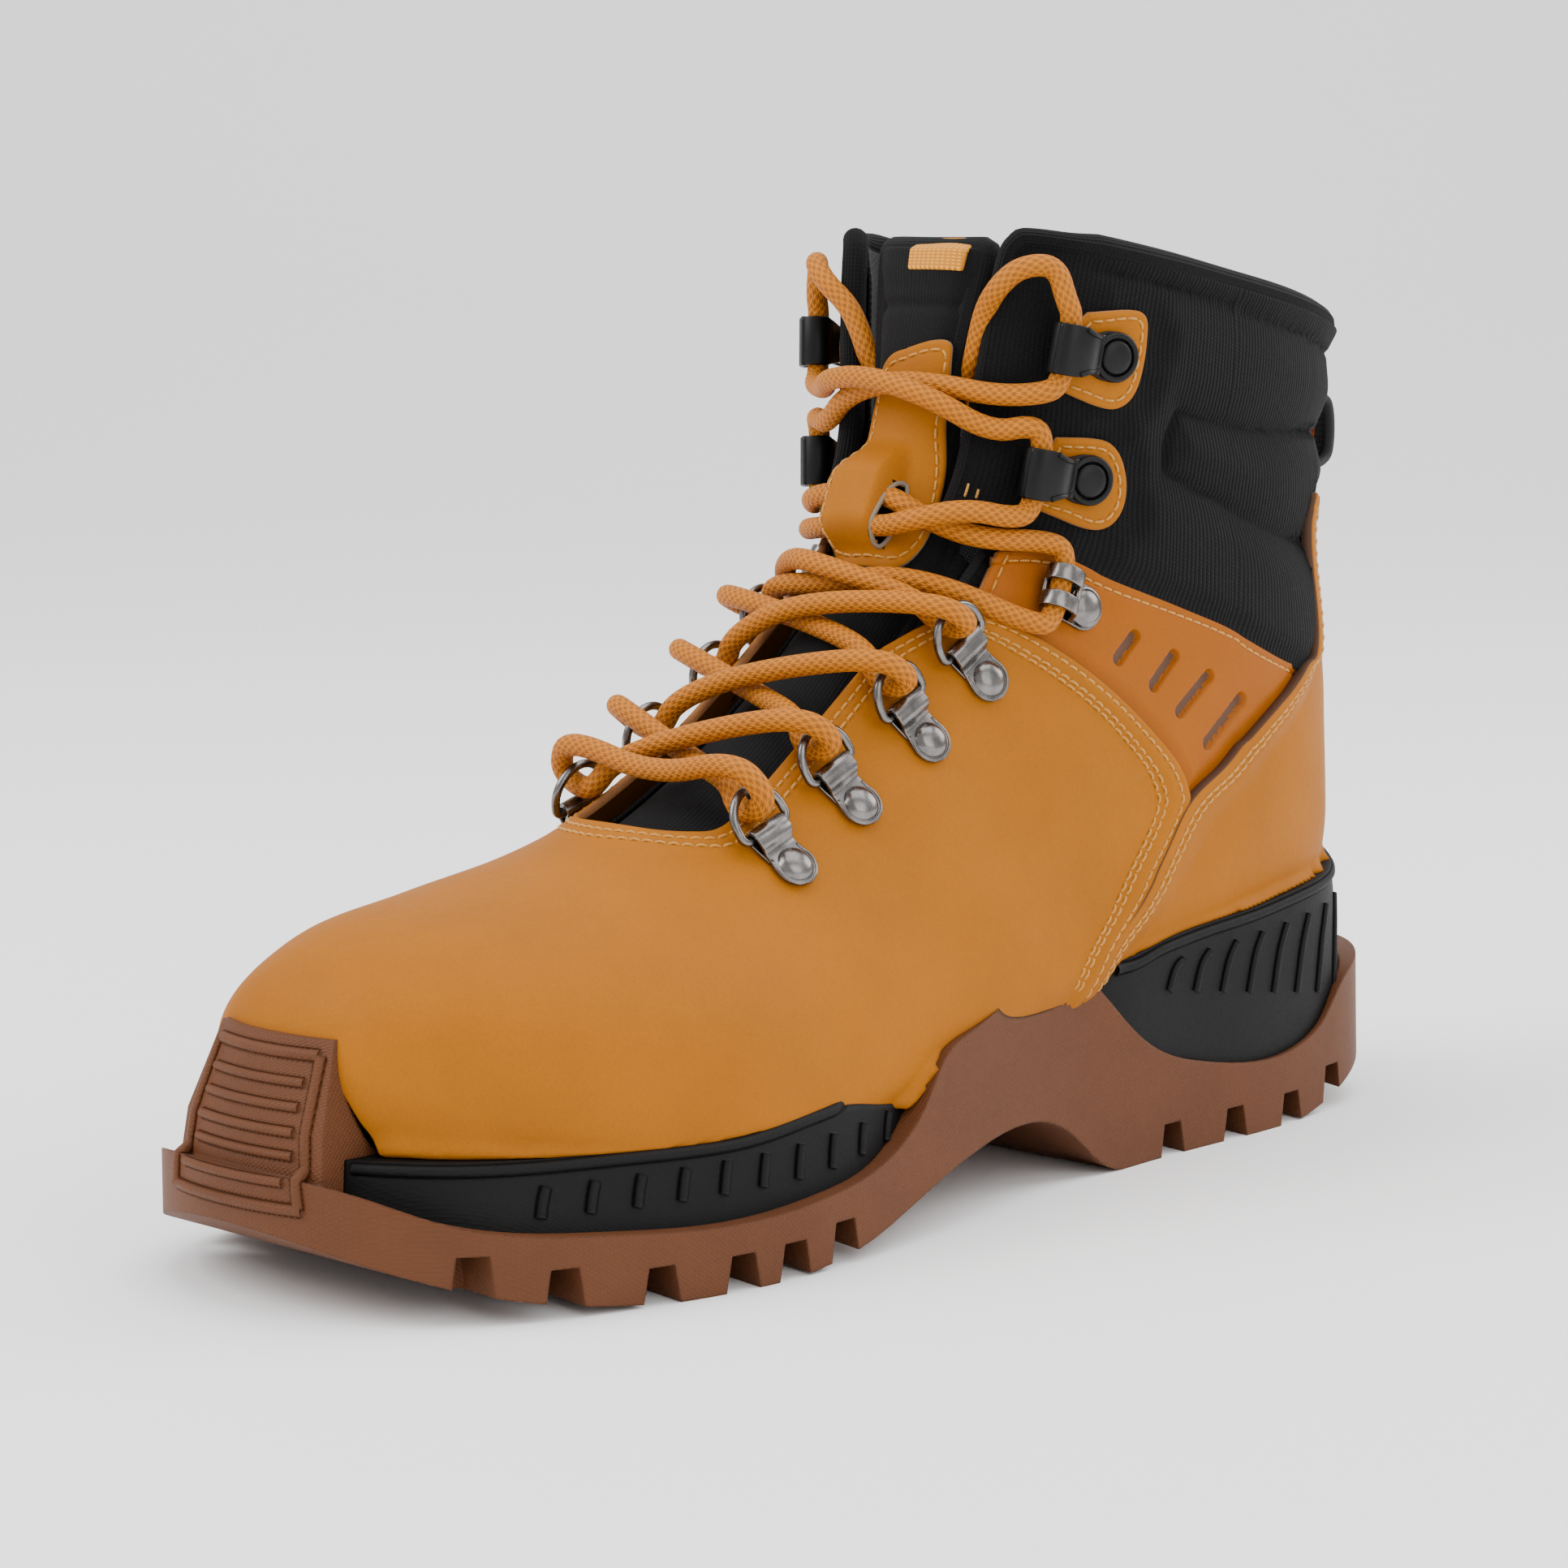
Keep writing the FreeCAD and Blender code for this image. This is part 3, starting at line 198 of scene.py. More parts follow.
# ---- the boot surface
SECTIONS = [
    (0.00, (-146, 38), (-146, 38), 0.0, 0.0, .60, 2.0, 2.2, -3),
    (0.02, (-147, 45), (-143, 30), 13.0, 12.5, .60, 2.0, 2.2, -3),
    (0.06, (-144, 54.8), (-137, 26), 25.0, 23.5, .62, 2.1, 2.4, -3),
    (0.11, (-136, 62.5), (-127, 23), 35.0, 32.0, .65, 2.2, 2.6, -2),
    (0.18, (-121, 68.2), (-112, 21), 43.5, 39.5, .68, 2.3, 2.8, -1),
    (0.26, (-100, 71.5), (-91, 18), 49.0, 45.0, .70, 2.3, 3.0, 0),
    (0.34, (-77, 76.2), (-66, 17), 51.5, 47.0, .73, 2.1, 3.0, 0),
    (0.42, (-54, 85), (-38, 18), 49.5, 44.0, .77, 2.0, 3.0, 0),
    (0.50, (-32, 99), (-8, 21), 46.0, 40.5, .78, 2.0, 2.8, 0),
    (0.57, (-13, 115), (24, 26), 43.0, 38.5, .78, 2.0, 2.6, 0),
    (0.64, (2, 131), (62, 29), 40.5, 38.0, .72, 2.1, 2.5, 0),
    (0.70, (9, 145), (104, 29), 39.5, 38.0, .66, 2.2, 2.4, 0),
    (0.75, (12, 154), (136, 34), 38.5, 37.5, .60, 2.2, 2.3, 0),
    (0.80, (14, 162), (147.5, 56), 38.0, 37.5, .56, 2.2, 2.2, 0),
    (0.85, (16, 171), (147.5, 84), 38.0, 37.5, .52, 2.3, 2.2, 0),
    (0.90, (18, 180), (142.5, 114), 38.5, 38.0, .50, 2.4, 2.2, 0),
    (0.95, (20, 189), (141, 145), 39.5, 39.0, .50, 2.5, 2.2, 0),
    (1.00, (22, 198), (147.5, 178), 41.0, 40.0, .50, 2.6, 2.2, 0),
]
RISE = np.array([0.0, 40.0, 180.0])


class Smooth:
    """Cubic curve through points that never overshoots them."""

    def __init__(self, xs, ys):
        self.x, self.y = np.array(xs, float), np.array(ys, float)
        h = np.diff(self.x)
        d = np.diff(self.y) / h
        m = np.zeros(len(self.x))
        m[0], m[-1] = d[0], d[-1]
        for i in range(1, len(m) - 1):
            if d[i - 1] * d[i] > 0:
                a, b = 2 * h[i] + h[i - 1], h[i] + 2 * h[i - 1]
                m[i] = (a + b) / (a / d[i - 1] + b / d[i])
        self.h, self.m = h, m

    def __call__(self, x):
        x = np.clip(x, self.x[0], self.x[-1])
        i = np.clip(np.searchsorted(self.x, x, side="right") - 1, 0, len(self.h) - 1)
        h = self.h[i]
        t = (x - self.x[i]) / h
        y, m = self.y, self.m
        return ((2 * t**3 - 3 * t**2 + 1) * y[i] + (t**3 - 2 * t**2 + t) * h * m[i]
                + (3 * t**2 - 2 * t**3) * y[i + 1] + (t**3 - t**2) * h * m[i + 1])


S = [r[0] for r in SECTIONS]
TOP_Y, TOP_Z = Smooth(S, [r[1][0] for r in SECTIONS]), Smooth(S, [r[1][1] for r in SECTIONS])
BOT_Y, BOT_Z = Smooth(S, [r[2][0] for r in SECTIONS]), Smooth(S, [r[2][1] for r in SECTIONS])
LAT, MED, WIDEST, FULL_UP, FULL_LOW, MID_X = [Smooth(S, [r[k] for r in SECTIONS])
                                              for k in range(3, 9)]


def ease(x, a, b):
    t = np.clip((np.asarray(x, float) - a) / (b - a), 0.0, 1.0)
    return t * t * (3 - 2 * t)


def base_point(s, v):
    s, v = np.broadcast_arrays(np.asarray(s, float), np.asarray(v, float))
    sc = np.clip(s, 0.0, 1.0)
    v = (v + 1) % 2 - 1
    a, tm = np.abs(v), WIDEST(sc)
    vs = 0.25 + 0.5 * tm
    up = a <= vs
    ph = np.where(up, a / vs, (1 - a) / (1 - vs)) * np.pi / 2
    n = np.where(up, FULL_UP(sc), FULL_LOW(sc))
    sin, cos = np.clip(np.sin(ph), 0, 1) ** (2 / n), np.clip(np.cos(ph), 0, 1) ** (2 / n)
    tau = np.where(up, tm * (1 - cos), tm + (1 - tm) * cos)
    ty, tz, by, bz = TOP_Y(sc), TOP_Z(sc), BOT_Y(sc), BOT_Z(sc)
    x = MID_X(sc) + np.sign(v) * np.where(v >= 0, LAT(sc), MED(sc)) * sin
    p = np.stack([x, ty + (by - ty) * tau, tz + (bz - tz) * tau], -1)
    return p + RISE * np.maximum(s - 1, 0)[..., None]


def unit(a):
    return a / np.maximum(np.linalg.norm(a, axis=-1, keepdims=True), 1e-9)


def normal(s, v):
    s, v, e = np.asarray(s, float), np.asarray(v, float), 1e-3
    lo, hi = np.maximum(np.minimum(s, 1) - e, .004), np.clip(s + e, .006, 1)
    ds = base_point(hi, v) - base_point(lo, v)
    dv = base_point(np.maximum(s, .004), v + e) - base_point(np.maximum(s, .004), v - e)
    return unit(np.cross(dv, ds))


def surf(s, v, d=0.0):
    """Point of the boot surface, d millimetres outside it."""
    s, v, d = np.broadcast_arrays(*[np.asarray(a, float) for a in (s, v, d)])
    return base_point(s, v) + normal(s, v) * d[..., None]


# ---- paths and grids
def rounded(pts, steps=12):
    """Catmull-Rom curve through points, as a dense array."""
    p = np.array(pts, float)
    t = np.linspace(0, 1, steps, endpoint=False)[:, None]
    out = []
    for i in range(len(p) - 1):
        a, b, c, d = p[max(i - 1, 0)], p[i], p[i + 1], p[min(i + 2, len(p) - 1)]
        out.append(0.5 * (2 * b + (c - a) * t + (2 * a - 5 * b + 4 * c - d) * t**2
                          + (3 * b - a - 3 * c + d) * t**3))
    return np.concatenate(out + [p[-1:]])


def run_of(points):
    return np.r_[0, np.cumsum(np.linalg.norm(np.diff(points, axis=0), axis=1))]


def resample(curve, n, measure=None):
    """n points evenly spaced along a dense curve (spacing measured on measure)."""
    run = run_of(curve if measure is None else measure)
    want = np.linspace(0, run[-1], n)
    return np.stack([np.interp(want, run, curve[:, k]) for k in range(curve.shape[1])], 1)


def even(path, n):
    """n (s, v) points evenly spaced on the boot along a path."""
    fine = rounded(path)
    return resample(fine, n, base_point(fine[:, 0], fine[:, 1]))


def grid_sv(bottom, top, left, right, nu, nv):
    """Grid of (s, v) filled in between four edges."""
    B, T, L, R = even(bottom, nu), even(top, nu), even(left, nv), even(right, nv)
    a, b = np.linspace(0, 1, nu)[:, None, None], np.linspace(0, 1, nv)[None, :, None]
    return ((1 - b) * B[:, None] + b * T[:, None] + (1 - a) * L[None] + a * R[None]
            - (1 - b) * ((1 - a) * B[0] + a * B[-1]) - b * ((1 - a) * T[0] + a * T[-1]))


def both_sides(path):
    """Edge from the lateral side over the front to the medial side."""
    return path + [(s, -v) for s, v in reversed(path) if v > 0]


def round_back(path):
    """Edge from the lateral side round the heel to the medial side."""
    return path + [(s, 2 - v) for s, v in reversed(path) if v < 1]


def other(path, side):
    return [(s, side * v) for s, v in path]


def back_other(path):
    return [(s, 2 - v) for s, v in path]


def gap_to(points, line, batch=20000):
    """Distance of each point (..., 3) from a dense polyline, worked out in batches."""
    flat = points.reshape(-1, 3)
    out = np.zeros(len(flat))
    for k in range(0, len(flat), batch):
        d = ((flat[k:k + batch, None] - line[None]) ** 2).sum(-1)
        out[k:k + batch] = np.sqrt(d.min(1))
    return out.reshape(points.shape[:-1])


def on_boot(path, n):
    """n points of the boot surface, evenly spaced along an (s, v) path."""
    return surf(*even(path, n).T)


# ---- meshes
def build(name, verts, faces, mats, face_mat=None, uv=None):
    """Mesh object from points in millimetres in the boot's frame."""
    me = bpy.data.meshes.new(name)
    me.from_pydata(((np.asarray(verts) + SHIFT) * MM).tolist(), [],
                   [tuple(int(i) for i in f) for f in faces])
    me.update()
    for m in (mats if isinstance(mats, (list, tuple)) else [mats]):
        me.materials.append(m)
    if face_mat is not None:
        me.polygons.foreach_set("material_index", np.asarray(face_mat, np.int32))
    if uv is not None:
        layer = me.uv_layers.new(name="UVMap")
        loops = np.zeros(len(me.loops), np.int32)
        me.loops.foreach_get("vertex_index", loops)
        layer.data.foreach_set("uv", np.asarray(uv, np.float32)[loops].ravel())
    me.polygons.foreach_set("use_smooth", np.full(len(me.polygons), True))
    ob = bpy.data.objects.new(name, me)
    bpy.context.scene.collection.objects.link(ob)
    return ob


def grid_faces(nu, nv, wrap_u=False, wrap_v=False, first=0):
    u = np.arange(nu if wrap_u else nu - 1)
    v = np.arange(nv if wrap_v else nv - 1)
    i, j = np.meshgrid(u, v, indexing="ij")
    i2, j2 = (i + 1) % nu, (j + 1) % nv
    f = np.stack([i * nv + j, i2 * nv + j, i2 * nv + j2, i * nv + j2], -1).reshape(-1, 4)
    return f + first


def grid_uv(P):
    """Cloth coordinates of a grid, in millimetres along its two directions."""
    nu, nv = P.shape[:2]
    u = np.zeros((nu, nv))
    u[1:] = np.cumsum(np.linalg.norm(np.diff(P, axis=0), axis=-1), axis=0)
    mid = u[:, nv // 2:nv // 2 + 1] - u[nu // 2, nv // 2]
    v = np.zeros((nu, nv))
    v[:, 1:] = np.cumsum(np.linalg.norm(np.diff(P, axis=1), axis=-1), axis=1)
    return np.stack([np.broadcast_to(mid, (nu, nv)), v], -1)


def boundary(nu, nv):
    """Index loop round a grid, counter-clockwise in (u, v)."""
    return np.array([i * nv for i in range(nu)] + [(nu - 1) * nv + j for j in range(1, nv)]
                    + [i * nv + nv - 1 for i in range(nu - 2, -1, -1)]
                    + [j for j in range(nv - 2, 0, -1)])


def vertex_normals(P):
    return unit(np.cross(np.gradient(P, axis=0), np.gradient(P, axis=1)))


def facing(P, N):
    """1 if a grid's own normals point the way of N, else -1."""
    return 1 if (vertex_normals(P) * N).sum() > 0 else -1


def merged(parts):
    """One mesh of several (points, faces) parts."""
    V, F, start = [], [], 0
    for v, f in parts:
        V.append(v)
        F += [tuple(start + int(k) for k in face) for face in f]
        start += len(v)
    return np.concatenate(V), F


def reworked(ob, change):
    """Apply a change to an object's mesh through bmesh."""
    fix = bmesh.new()
    fix.from_mesh(ob.data)
    change(fix)
    fix.to_mesh(ob.data)
    fix.free()
    return ob


EDGE_TUCK = 1.5


def sheet(name, P, mats, thick, r, flip):
    """Open-backed sheet: the face P (nu, nv, 3), a rounded edge and a wall all round."""
    nu, nv = P.shape[:2]
    N = vertex_normals(P) * flip
    flat, nflat = P.reshape(-1, 3), N.reshape(-1, 3)
    loop = boundary(nu, nv)
    B, NB = flat[loop], nflat[loop]
    tangent = unit(np.roll(B, -1, 0) - np.roll(B, 1, 0))
    out = unit(np.cross(tangent, NB)) * flip
    rings = [B + out * (r * math.sin(a)) - NB * (r * (1 - math.cos(a)))
             for a in (math.radians(q) for q in (30, 60, 90))]
    rings.append(B + out * r - NB * thick)
    rings.append(B - out * EDGE_TUCK - NB * (thick + .05))
    n = len(loop)
    verts, faces = [flat], [grid_faces(nu, nv)]
    fm = [np.zeros((nu - 1) * (nv - 1), int)]
    uv = grid_uv(P).reshape(-1, 2)
    uvs = [uv]
    start = nu * nv
    prev = loop
    for k, ring in enumerate(rings):
        verts.append(ring)
        uvs.append(uv[loop])
        now = start + np.arange(n)
        faces.append(np.stack([prev, np.roll(prev, -1), np.roll(now, -1), now], 1)[:, ::-1])
        fm.append(np.full(n, 0 if k < 2 or not isinstance(mats, (list, tuple)) else 1))
        prev, start = now, start + n
    F = np.concatenate(faces)
    if flip < 0:
        F = F[:, ::-1]
    return build(name, np.concatenate(verts), F, mats, np.concatenate(fm),
                 np.concatenate(uvs) / 10)


def tube_mesh(paths, radius, sides=10, caps=True):
    """Verts and faces of tubes along dense polylines; radius a number or array."""
    V, F, start = [], [], 0
    ang = np.linspace(0, 2 * np.pi, sides, endpoint=False)
    for path in paths:
        p = np.asarray(path, float)
        t = unit(np.gradient(p, axis=0))
        ref = np.zeros_like(p)
        a = np.cross(t[0], [0.3, 0.5, 0.81])
        a /= np.linalg.norm(a)
        for i in range(len(p)):
            a = a - t[i] * (a @ t[i])
            a /= np.linalg.norm(a)
            ref[i] = a
        b = np.cross(t, ref)
        rad = np.broadcast_to(np.asarray(radius, float), (len(p),))[:, None, None]
        ring = p[:, None] + rad * (ref[:, None] * np.cos(ang)[None, :, None]
                                   + b[:, None] * np.sin(ang)[None, :, None])
        V.append(ring.reshape(-1, 3))
        n = len(p)
        F += grid_faces(n, sides, wrap_v=True, first=start).tolist()
        if caps:
            F.append([start + k for k in range(sides)][::-1])
            F.append([start + (n - 1) * sides + k for k in range(sides)])
        start += n * sides
    return np.concatenate(V), F


# ---- materials
class Look:
    """A procedural material; coordinates come out in millimetres."""

    def __init__(self, name, color, rough, metallic=0.0, **sockets):
        self.mat = bpy.data.materials.new(name)
        self.mat.use_nodes = True
        self.tree = self.mat.node_tree
        self.bsdf = self.tree.nodes["Principled BSDF"]
        self.set("Base Color", (*color, 1.0))
        self.set("Roughness", rough)
        self.set("Metallic", metallic)
        for key, value in sockets.items():
            self.set(key.replace("_", " ").title().replace("Ior", "IOR"), value)
        self.color = color

    def set(self, socket, value):
        self.bsdf.inputs[socket].default_value = value

    def node(self, kind, out=0, props=(), **inputs):
        n = self.tree.nodes.new("ShaderNode" + kind)
        for k, val in props:
            setattr(n, k, val)
        for k, val in inputs.items():
            self.plug(n.inputs[int(k[1:])] if k[0] == "i" and k[1:].isdigit()
                      else n.inputs[k.replace("_", " ")], val)
        return n.outputs[out]

    def plug(self, socket, val):
        if isinstance(val, bpy.types.NodeSocket):
            self.tree.links.new(val, socket)
        else:
            socket.default_value = val

    def math(self, op, a, b=0.0, c=0.0):
        return self.node("Math", props=[("operation", op)], i0=a, i1=b, i2=c)

    def place(self, kind="Object", scale=1000.0):
        """Texture coordinates: Object in metres, UV in centimetres of cloth."""
        n = self.tree.nodes.new("ShaderNodeTexCoord")
        return self.node("Mapping", Vector=n.outputs[kind], Scale=(scale, scale, scale))

    def axes(self, vector):
        n = self.tree.nodes.new("ShaderNodeSeparateXYZ")
        self.tree.links.new(vector, n.inputs[0])
        return n.outputs

    def noise(self, vector, size, detail=3.0, rough=0.55):
        return self.node("TexNoise", Vector=vector, Scale=1.0 / size, Detail=detail,
                         Roughness=rough)

    def wave(self, x, period, phase=0.0):
        """0..1 sine of a length in millimetres."""
        t = self.math("MULTIPLY", x, 2 * math.pi / period)
        if phase or isinstance(phase, bpy.types.NodeSocket):
            t = self.math("ADD", t, phase)
        return self.math("MULTIPLY_ADD", self.math("SINE", t), 0.5, 0.5)

    def vary(self, fac, dark, light):
        """Base colour between two multiples of the main one."""
        lo = (*[c * dark for c in self.color], 1.0)
        hi = (*[min(c * light, 1.0) for c in self.color], 1.0)
        self.mix_colour(fac, lo, hi)

    def mix_colour(self, fac, lo, hi):
        n = self.tree.nodes.new("ShaderNodeMix")
        n.data_type = "RGBA"
        self.plug(n.inputs[0], fac)
        self.plug(n.inputs[6], lo)
        self.plug(n.inputs[7], hi)
        self.tree.links.new(n.outputs[2], self.bsdf.inputs["Base Color"])
        return n.outputs[2]

    def ramp(self, fac, lo, hi):
        n = self.tree.nodes.new("ShaderNodeMapRange")
        self.plug(n.inputs["Value"], fac)
        n.inputs["From Min"].default_value = lo
        n.inputs["From Max"].default_value = hi
        return n.outputs[0]

    def roughness(self, fac, lo, hi):
        n = self.tree.nodes.new("ShaderNodeMapRange")
        self.plug(n.inputs["Value"], fac)
        n.inputs["To Min"].default_value = lo
        n.inputs["To Max"].default_value = hi
        self.tree.links.new(n.outputs[0], self.bsdf.inputs["Roughness"])

    def bump(self, *layers, edge=0.0):
        """Each layer is (height, millimetres deep); edge rounds corners by that radius."""
        previous = None
        if edge:
            n = self.tree.nodes.new("ShaderNodeBevel")
            n.samples = 6
            n.inputs["Radius"].default_value = edge * MM
            previous = n.outputs[0]
        for height, depth in layers:
            n = self.tree.nodes.new("ShaderNodeBump")
            n.inputs["Strength"].default_value = 1.0
            n.inputs["Distance"].default_value = depth * MM
            self.tree.links.new(height, n.inputs["Height"])
            if previous is not None:
                self.tree.links.new(previous, n.inputs["Normal"])
            previous = n.outputs[0]
        self.tree.links.new(previous, self.bsdf.inputs["Normal"])


def nubuck_look(name, color, rough=0.62, nap=1.0):
    k = Look(name, color, rough, specular_ior_level=0.15)
    at = k.place()
    blotch = k.noise(at, 26.0, 4.0)
    grain = k.noise(at, 0.5, 2.0)
    pores = k.noise(at, 1.6, 2.0, 0.4)
    both = k.math("ADD", k.math("MULTIPLY", blotch, 0.55), k.math("MULTIPLY", grain, 0.45))
    k.vary(k.ramp(both, 0.32, 0.68), 0.86, 1.10)
    k.roughness(pores, rough - 0.07, rough + 0.08)
    k.bump((grain, 0.035 * nap), (pores, 0.03 * nap), (k.noise(at, 7.0), 0.10))
    return k.mat


def raw_edge_look(name, color):
    k = Look(name, color, 0.75)
    at = k.place()
    fibre = k.noise(at, 0.45, 4.0, 0.7)
    k.vary(fibre, 0.65, 1.35)
    k.bump((fibre, 0.10))
    return k.mat


def knit_look(name, color, wale=1.15, course=0.85, depth=0.2, sheen=0.02):
    """Ribbed knit: columns of loops, with lighter flecks of worn yarn."""
    k = Look(name, color, 0.9, sheen_weight=sheen, specular_ior_level=0.18)
    u, v = k.axes(k.place("UV", 10.0))[:2]
    fuzz = k.noise(k.place(), 0.35, 3.0, 0.7)
    column = k.wave(u, wale)
    lean = k.math("MULTIPLY", k.math("SINE", k.math("MULTIPLY", u, 4 * math.pi / wale)), 0.9)
    loop = k.wave(v, course, lean)
    height = k.math("MULTIPLY", k.math("POWER", column, 0.6),
                    k.math("MULTIPLY_ADD", loop, 0.5, 0.5))
    broad = k.noise(k.place(), 14.0)
    mixed = k.math("ADD", k.math("MULTIPLY", height, 0.7), k.math("MULTIPLY", fuzz, 0.5))
    mixed = k.math("ADD", mixed, k.math("MULTIPLY", broad, 0.3))
    k.vary(k.ramp(mixed, 0.1, 0.95), 0.5, 2.0)
    k.bump((height, depth), (fuzz, 0.05))
    return k.mat


def mesh_look(name, color):
    """Spacer mesh lining: small open cells."""
    k = Look(name, color, 0.85, sheen_weight=0.04)
    u, v = k.axes(k.place("UV", 10.0))[:2]
    a, b = k.math("ADD", u, v), k.math("SUBTRACT", u, v)
    cell = k.math("MULTIPLY", k.wave(a, 1.5), k.wave(b, 1.5))
    k.vary(cell, 0.45, 1.6)
    k.bump((cell, 0.22))
    return k.mat


def rubber_look(name, color, rough=0.55, depth=0.09, period=0.95):
    """Moulded rubber with a fine woven texture."""
    k = Look(name, color, rough, specular_ior_level=0.2)
    at = k.place()
    x, y, z = k.axes(at)[:3]
    along = k.math("SUBTRACT", x, y)
    weave = k.math("MULTIPLY", k.wave(k.math("ADD", along, z), period),
                   k.wave(k.math("SUBTRACT", along, z), period))
    soft, dust = k.noise(at, 18.0, 4.0), k.noise(at, 0.6, 3.0)
    tone = k.math("ADD", k.math("MULTIPLY", soft, 0.6), k.math("MULTIPLY", dust, 0.4))
    tone = k.math("ADD", tone, k.math("MULTIPLY", weave, 0.18))
    k.vary(k.ramp(tone, 0.18, 0.72), 0.84, 1.2)
    k.roughness(dust, rough - 0.08, rough + 0.1)
    k.bump((weave, depth), (dust, 0.03), (k.noise(at, 9.0), 0.12), edge=0.9)
    return k.mat


def metal_look(name, color, rough, metallic=1.0, wear=1.25, **more):
    k = Look(name, color, rough, metallic, **more)
    at = k.place()
    cloud, fine = k.noise(at, 3.0, 4.0), k.noise(at, 0.3, 2.0)
    k.vary(k.ramp(cloud, 0.35, 0.65), 0.8, wear)
    k.roughness(fine, rough - 0.06, rough + 0.12)
    k.bump((fine, 0.006), (cloud, 0.02))
    return k.mat


def thread_look(name, color):
    """Twisted thread: UV runs along each stitch."""
    k = Look(name, color, 0.55, sheen_weight=0.05)
    u, v = k.axes(k.place("UV", 1.0))[:2]
    twist = k.wave(k.math("ADD", u, k.math("MULTIPLY", v, 2.6)), 1.0)
    k.vary(twist, 0.8, 1.5)
    k.bump((twist, 0.10))
    return k.mat


def braid_look(name, color):
    """Round braid: UV is (turn round the lace, millimetres along it)."""
    k = Look(name, color, 0.65, specular_ior_level=0.3)
    u, v = k.axes(k.place("UV", 1.0))[:2]
    carriers, pitch = 9.0, 2.1
    turn = k.math("MULTIPLY", u, carriers)
    up = k.math("ADD", turn, k.math("MULTIPLY", v, 1.0 / pitch))
    down = k.math("SUBTRACT", turn, k.math("MULTIPLY", v, 1.0 / pitch))
    over = k.wave(k.math("ADD", up, down), 1.0)
    a, b = k.wave(up, 1.0), k.wave(down, 1.0)
    height = k.math("MAXIMUM", k.math("MULTIPLY", a, k.math("ADD", over, 0.35)),
                    k.math("MULTIPLY", b, k.math("SUBTRACT", 1.35, over)))
    yarn = k.noise(k.place(), 0.18, 2.0)
    tone = k.math("ADD", k.math("MULTIPLY", height, 0.75), k.math("MULTIPLY", yarn, 0.3))
    k.vary(k.ramp(tone, 0.2, 1.0), 0.72, 1.7)
    k.bump((height, 0.16), (yarn, 0.04))
    return k.mat


def web_look(name, color, stripe=None):
    """Woven tape, optionally with a coloured band down its middle."""
    k = Look(name, color, 0.75, sheen_weight=0.05)
    u, v = k.axes(k.place("UV", 10.0))[:2]
    rib = k.wave(v, 1.3)
    yarn = k.math("MULTIPLY", rib, k.wave(u, 0.7))
    if stripe:
        near = k.math("LESS_THAN", k.math("ABSOLUTE", u), 3.4)
        tint = k.mix_colour(near, (*color, 1.0), (*stripe, 1.0))
        n = k.tree.nodes.new("ShaderNodeMix")
        n.data_type, n.blend_type = "RGBA", "MULTIPLY"
        n.inputs[0].default_value = 0.6
        k.plug(n.inputs[6], tint)
        k.plug(n.inputs[7], yarn)
        k.tree.links.new(n.outputs[2], k.bsdf.inputs["Base Color"])
    else:
        k.vary(yarn, 0.6, 1.5)
    k.bump((yarn, 0.22))
    return k.mat


NUBUCK = nubuck_look("nubuck", (0.335, 0.106, 0.0))
ANKLE_LEATHER = nubuck_look("smooth_leather", (0.305, 0.080, 0.0), 0.5, 0.5)
EDGE_TAN = raw_edge_look("cut_edge_tan", (0.36, 0.15, 0.045))
# dark brown: the real colour of the heel panel's cut edge, and also painted shade on the floors of the ankle panels'
# slots
EDGE_BROWN_AND_SLOT_SHADE = raw_edge_look("cut_edge_brown_and_slot_shade", (0.10, 0.045, 0.022))
EDGE_GREY = raw_edge_look("cut_edge_grey", (0.20, 0.155, 0.11))
KNIT = knit_look("black_knit", (0.002, 0.002, 0.0022), depth=0.26, sheen=0.012)
KNIT_FINE = knit_look("black_knit_fine", (0.003, 0.003, 0.0033), 0.9, 0.7, 0.10)
LINING = mesh_look("black_lining", (0.003, 0.003, 0.0033))
BROWN_RUBBER = rubber_look("brown_rubber", (0.095, 0.031, 0.010), 0.55)
BLACK_RUBBER = rubber_look("black_rubber", (0.0012, 0.0012, 0.0013), 0.6, 0.03)
GUNMETAL = metal_look("gunmetal", (0.17, 0.16, 0.155), 0.24)
BLACK_METAL = metal_look("black_enamel", (0.002, 0.002, 0.0022), 0.38, 0.0, 1.5,
                         specular_ior_level=0.22)
THREAD = thread_look("gold_thread", (0.50, 0.23, 0.035))
BRAID = braid_look("lace_braid", (0.34, 0.105, 0.0))
ORANGE_TAPE = web_look("orange_tape", (0.80, 0.28, 0.0))
PULL_TAPE = web_look("pull_tape", (0.014, 0.014, 0.016), (0.75, 0.16, 0.02))
PLASTIC_TIP = metal_look("aglet_plastic", (0.45, 0.25, 0.08), 0.25, 0.0)
CAP_STEEL = metal_look("cap_steel", (0.55, 0.55, 0.56), 0.35)
BOARD = raw_edge_look("fibre_board", (0.07, 0.045, 0.028))
FOAM = mesh_look("footbed_cloth", (0.035, 0.035, 0.038))

# ---- stage and light
floor_y = [-2500, 900, 1500, 1900, 2150, 2250, 2300]
floor_z = [0, 0, 30, 160, 450, 900, 2600]
curve = Smooth(range(7), floor_y), Smooth(range(7), floor_z)
t = np.linspace(0, 6, 80)
side_dir = np.array([math.cos(azimuth), math.sin(azimuth), 0.0])
away = -np.array([math.sin(azimuth), -math.cos(azimuth), 0.0])
P = (side_dir * np.array([-3500.0, 3500.0])[:, None, None]
     + (away * curve[0](t)[:, None] + np.array([0, 0, 1.0]) * curve[1](t)[:, None])[None])
stage_look = Look("stage", (0.97, 0.97, 0.97), 0.95, specular_ior_level=0.1)
floor = build("floor", P.reshape(-1, 3) - SHIFT, grid_faces(2, 80)[:, ::-1], stage_look.mat)
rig.stage(floor)


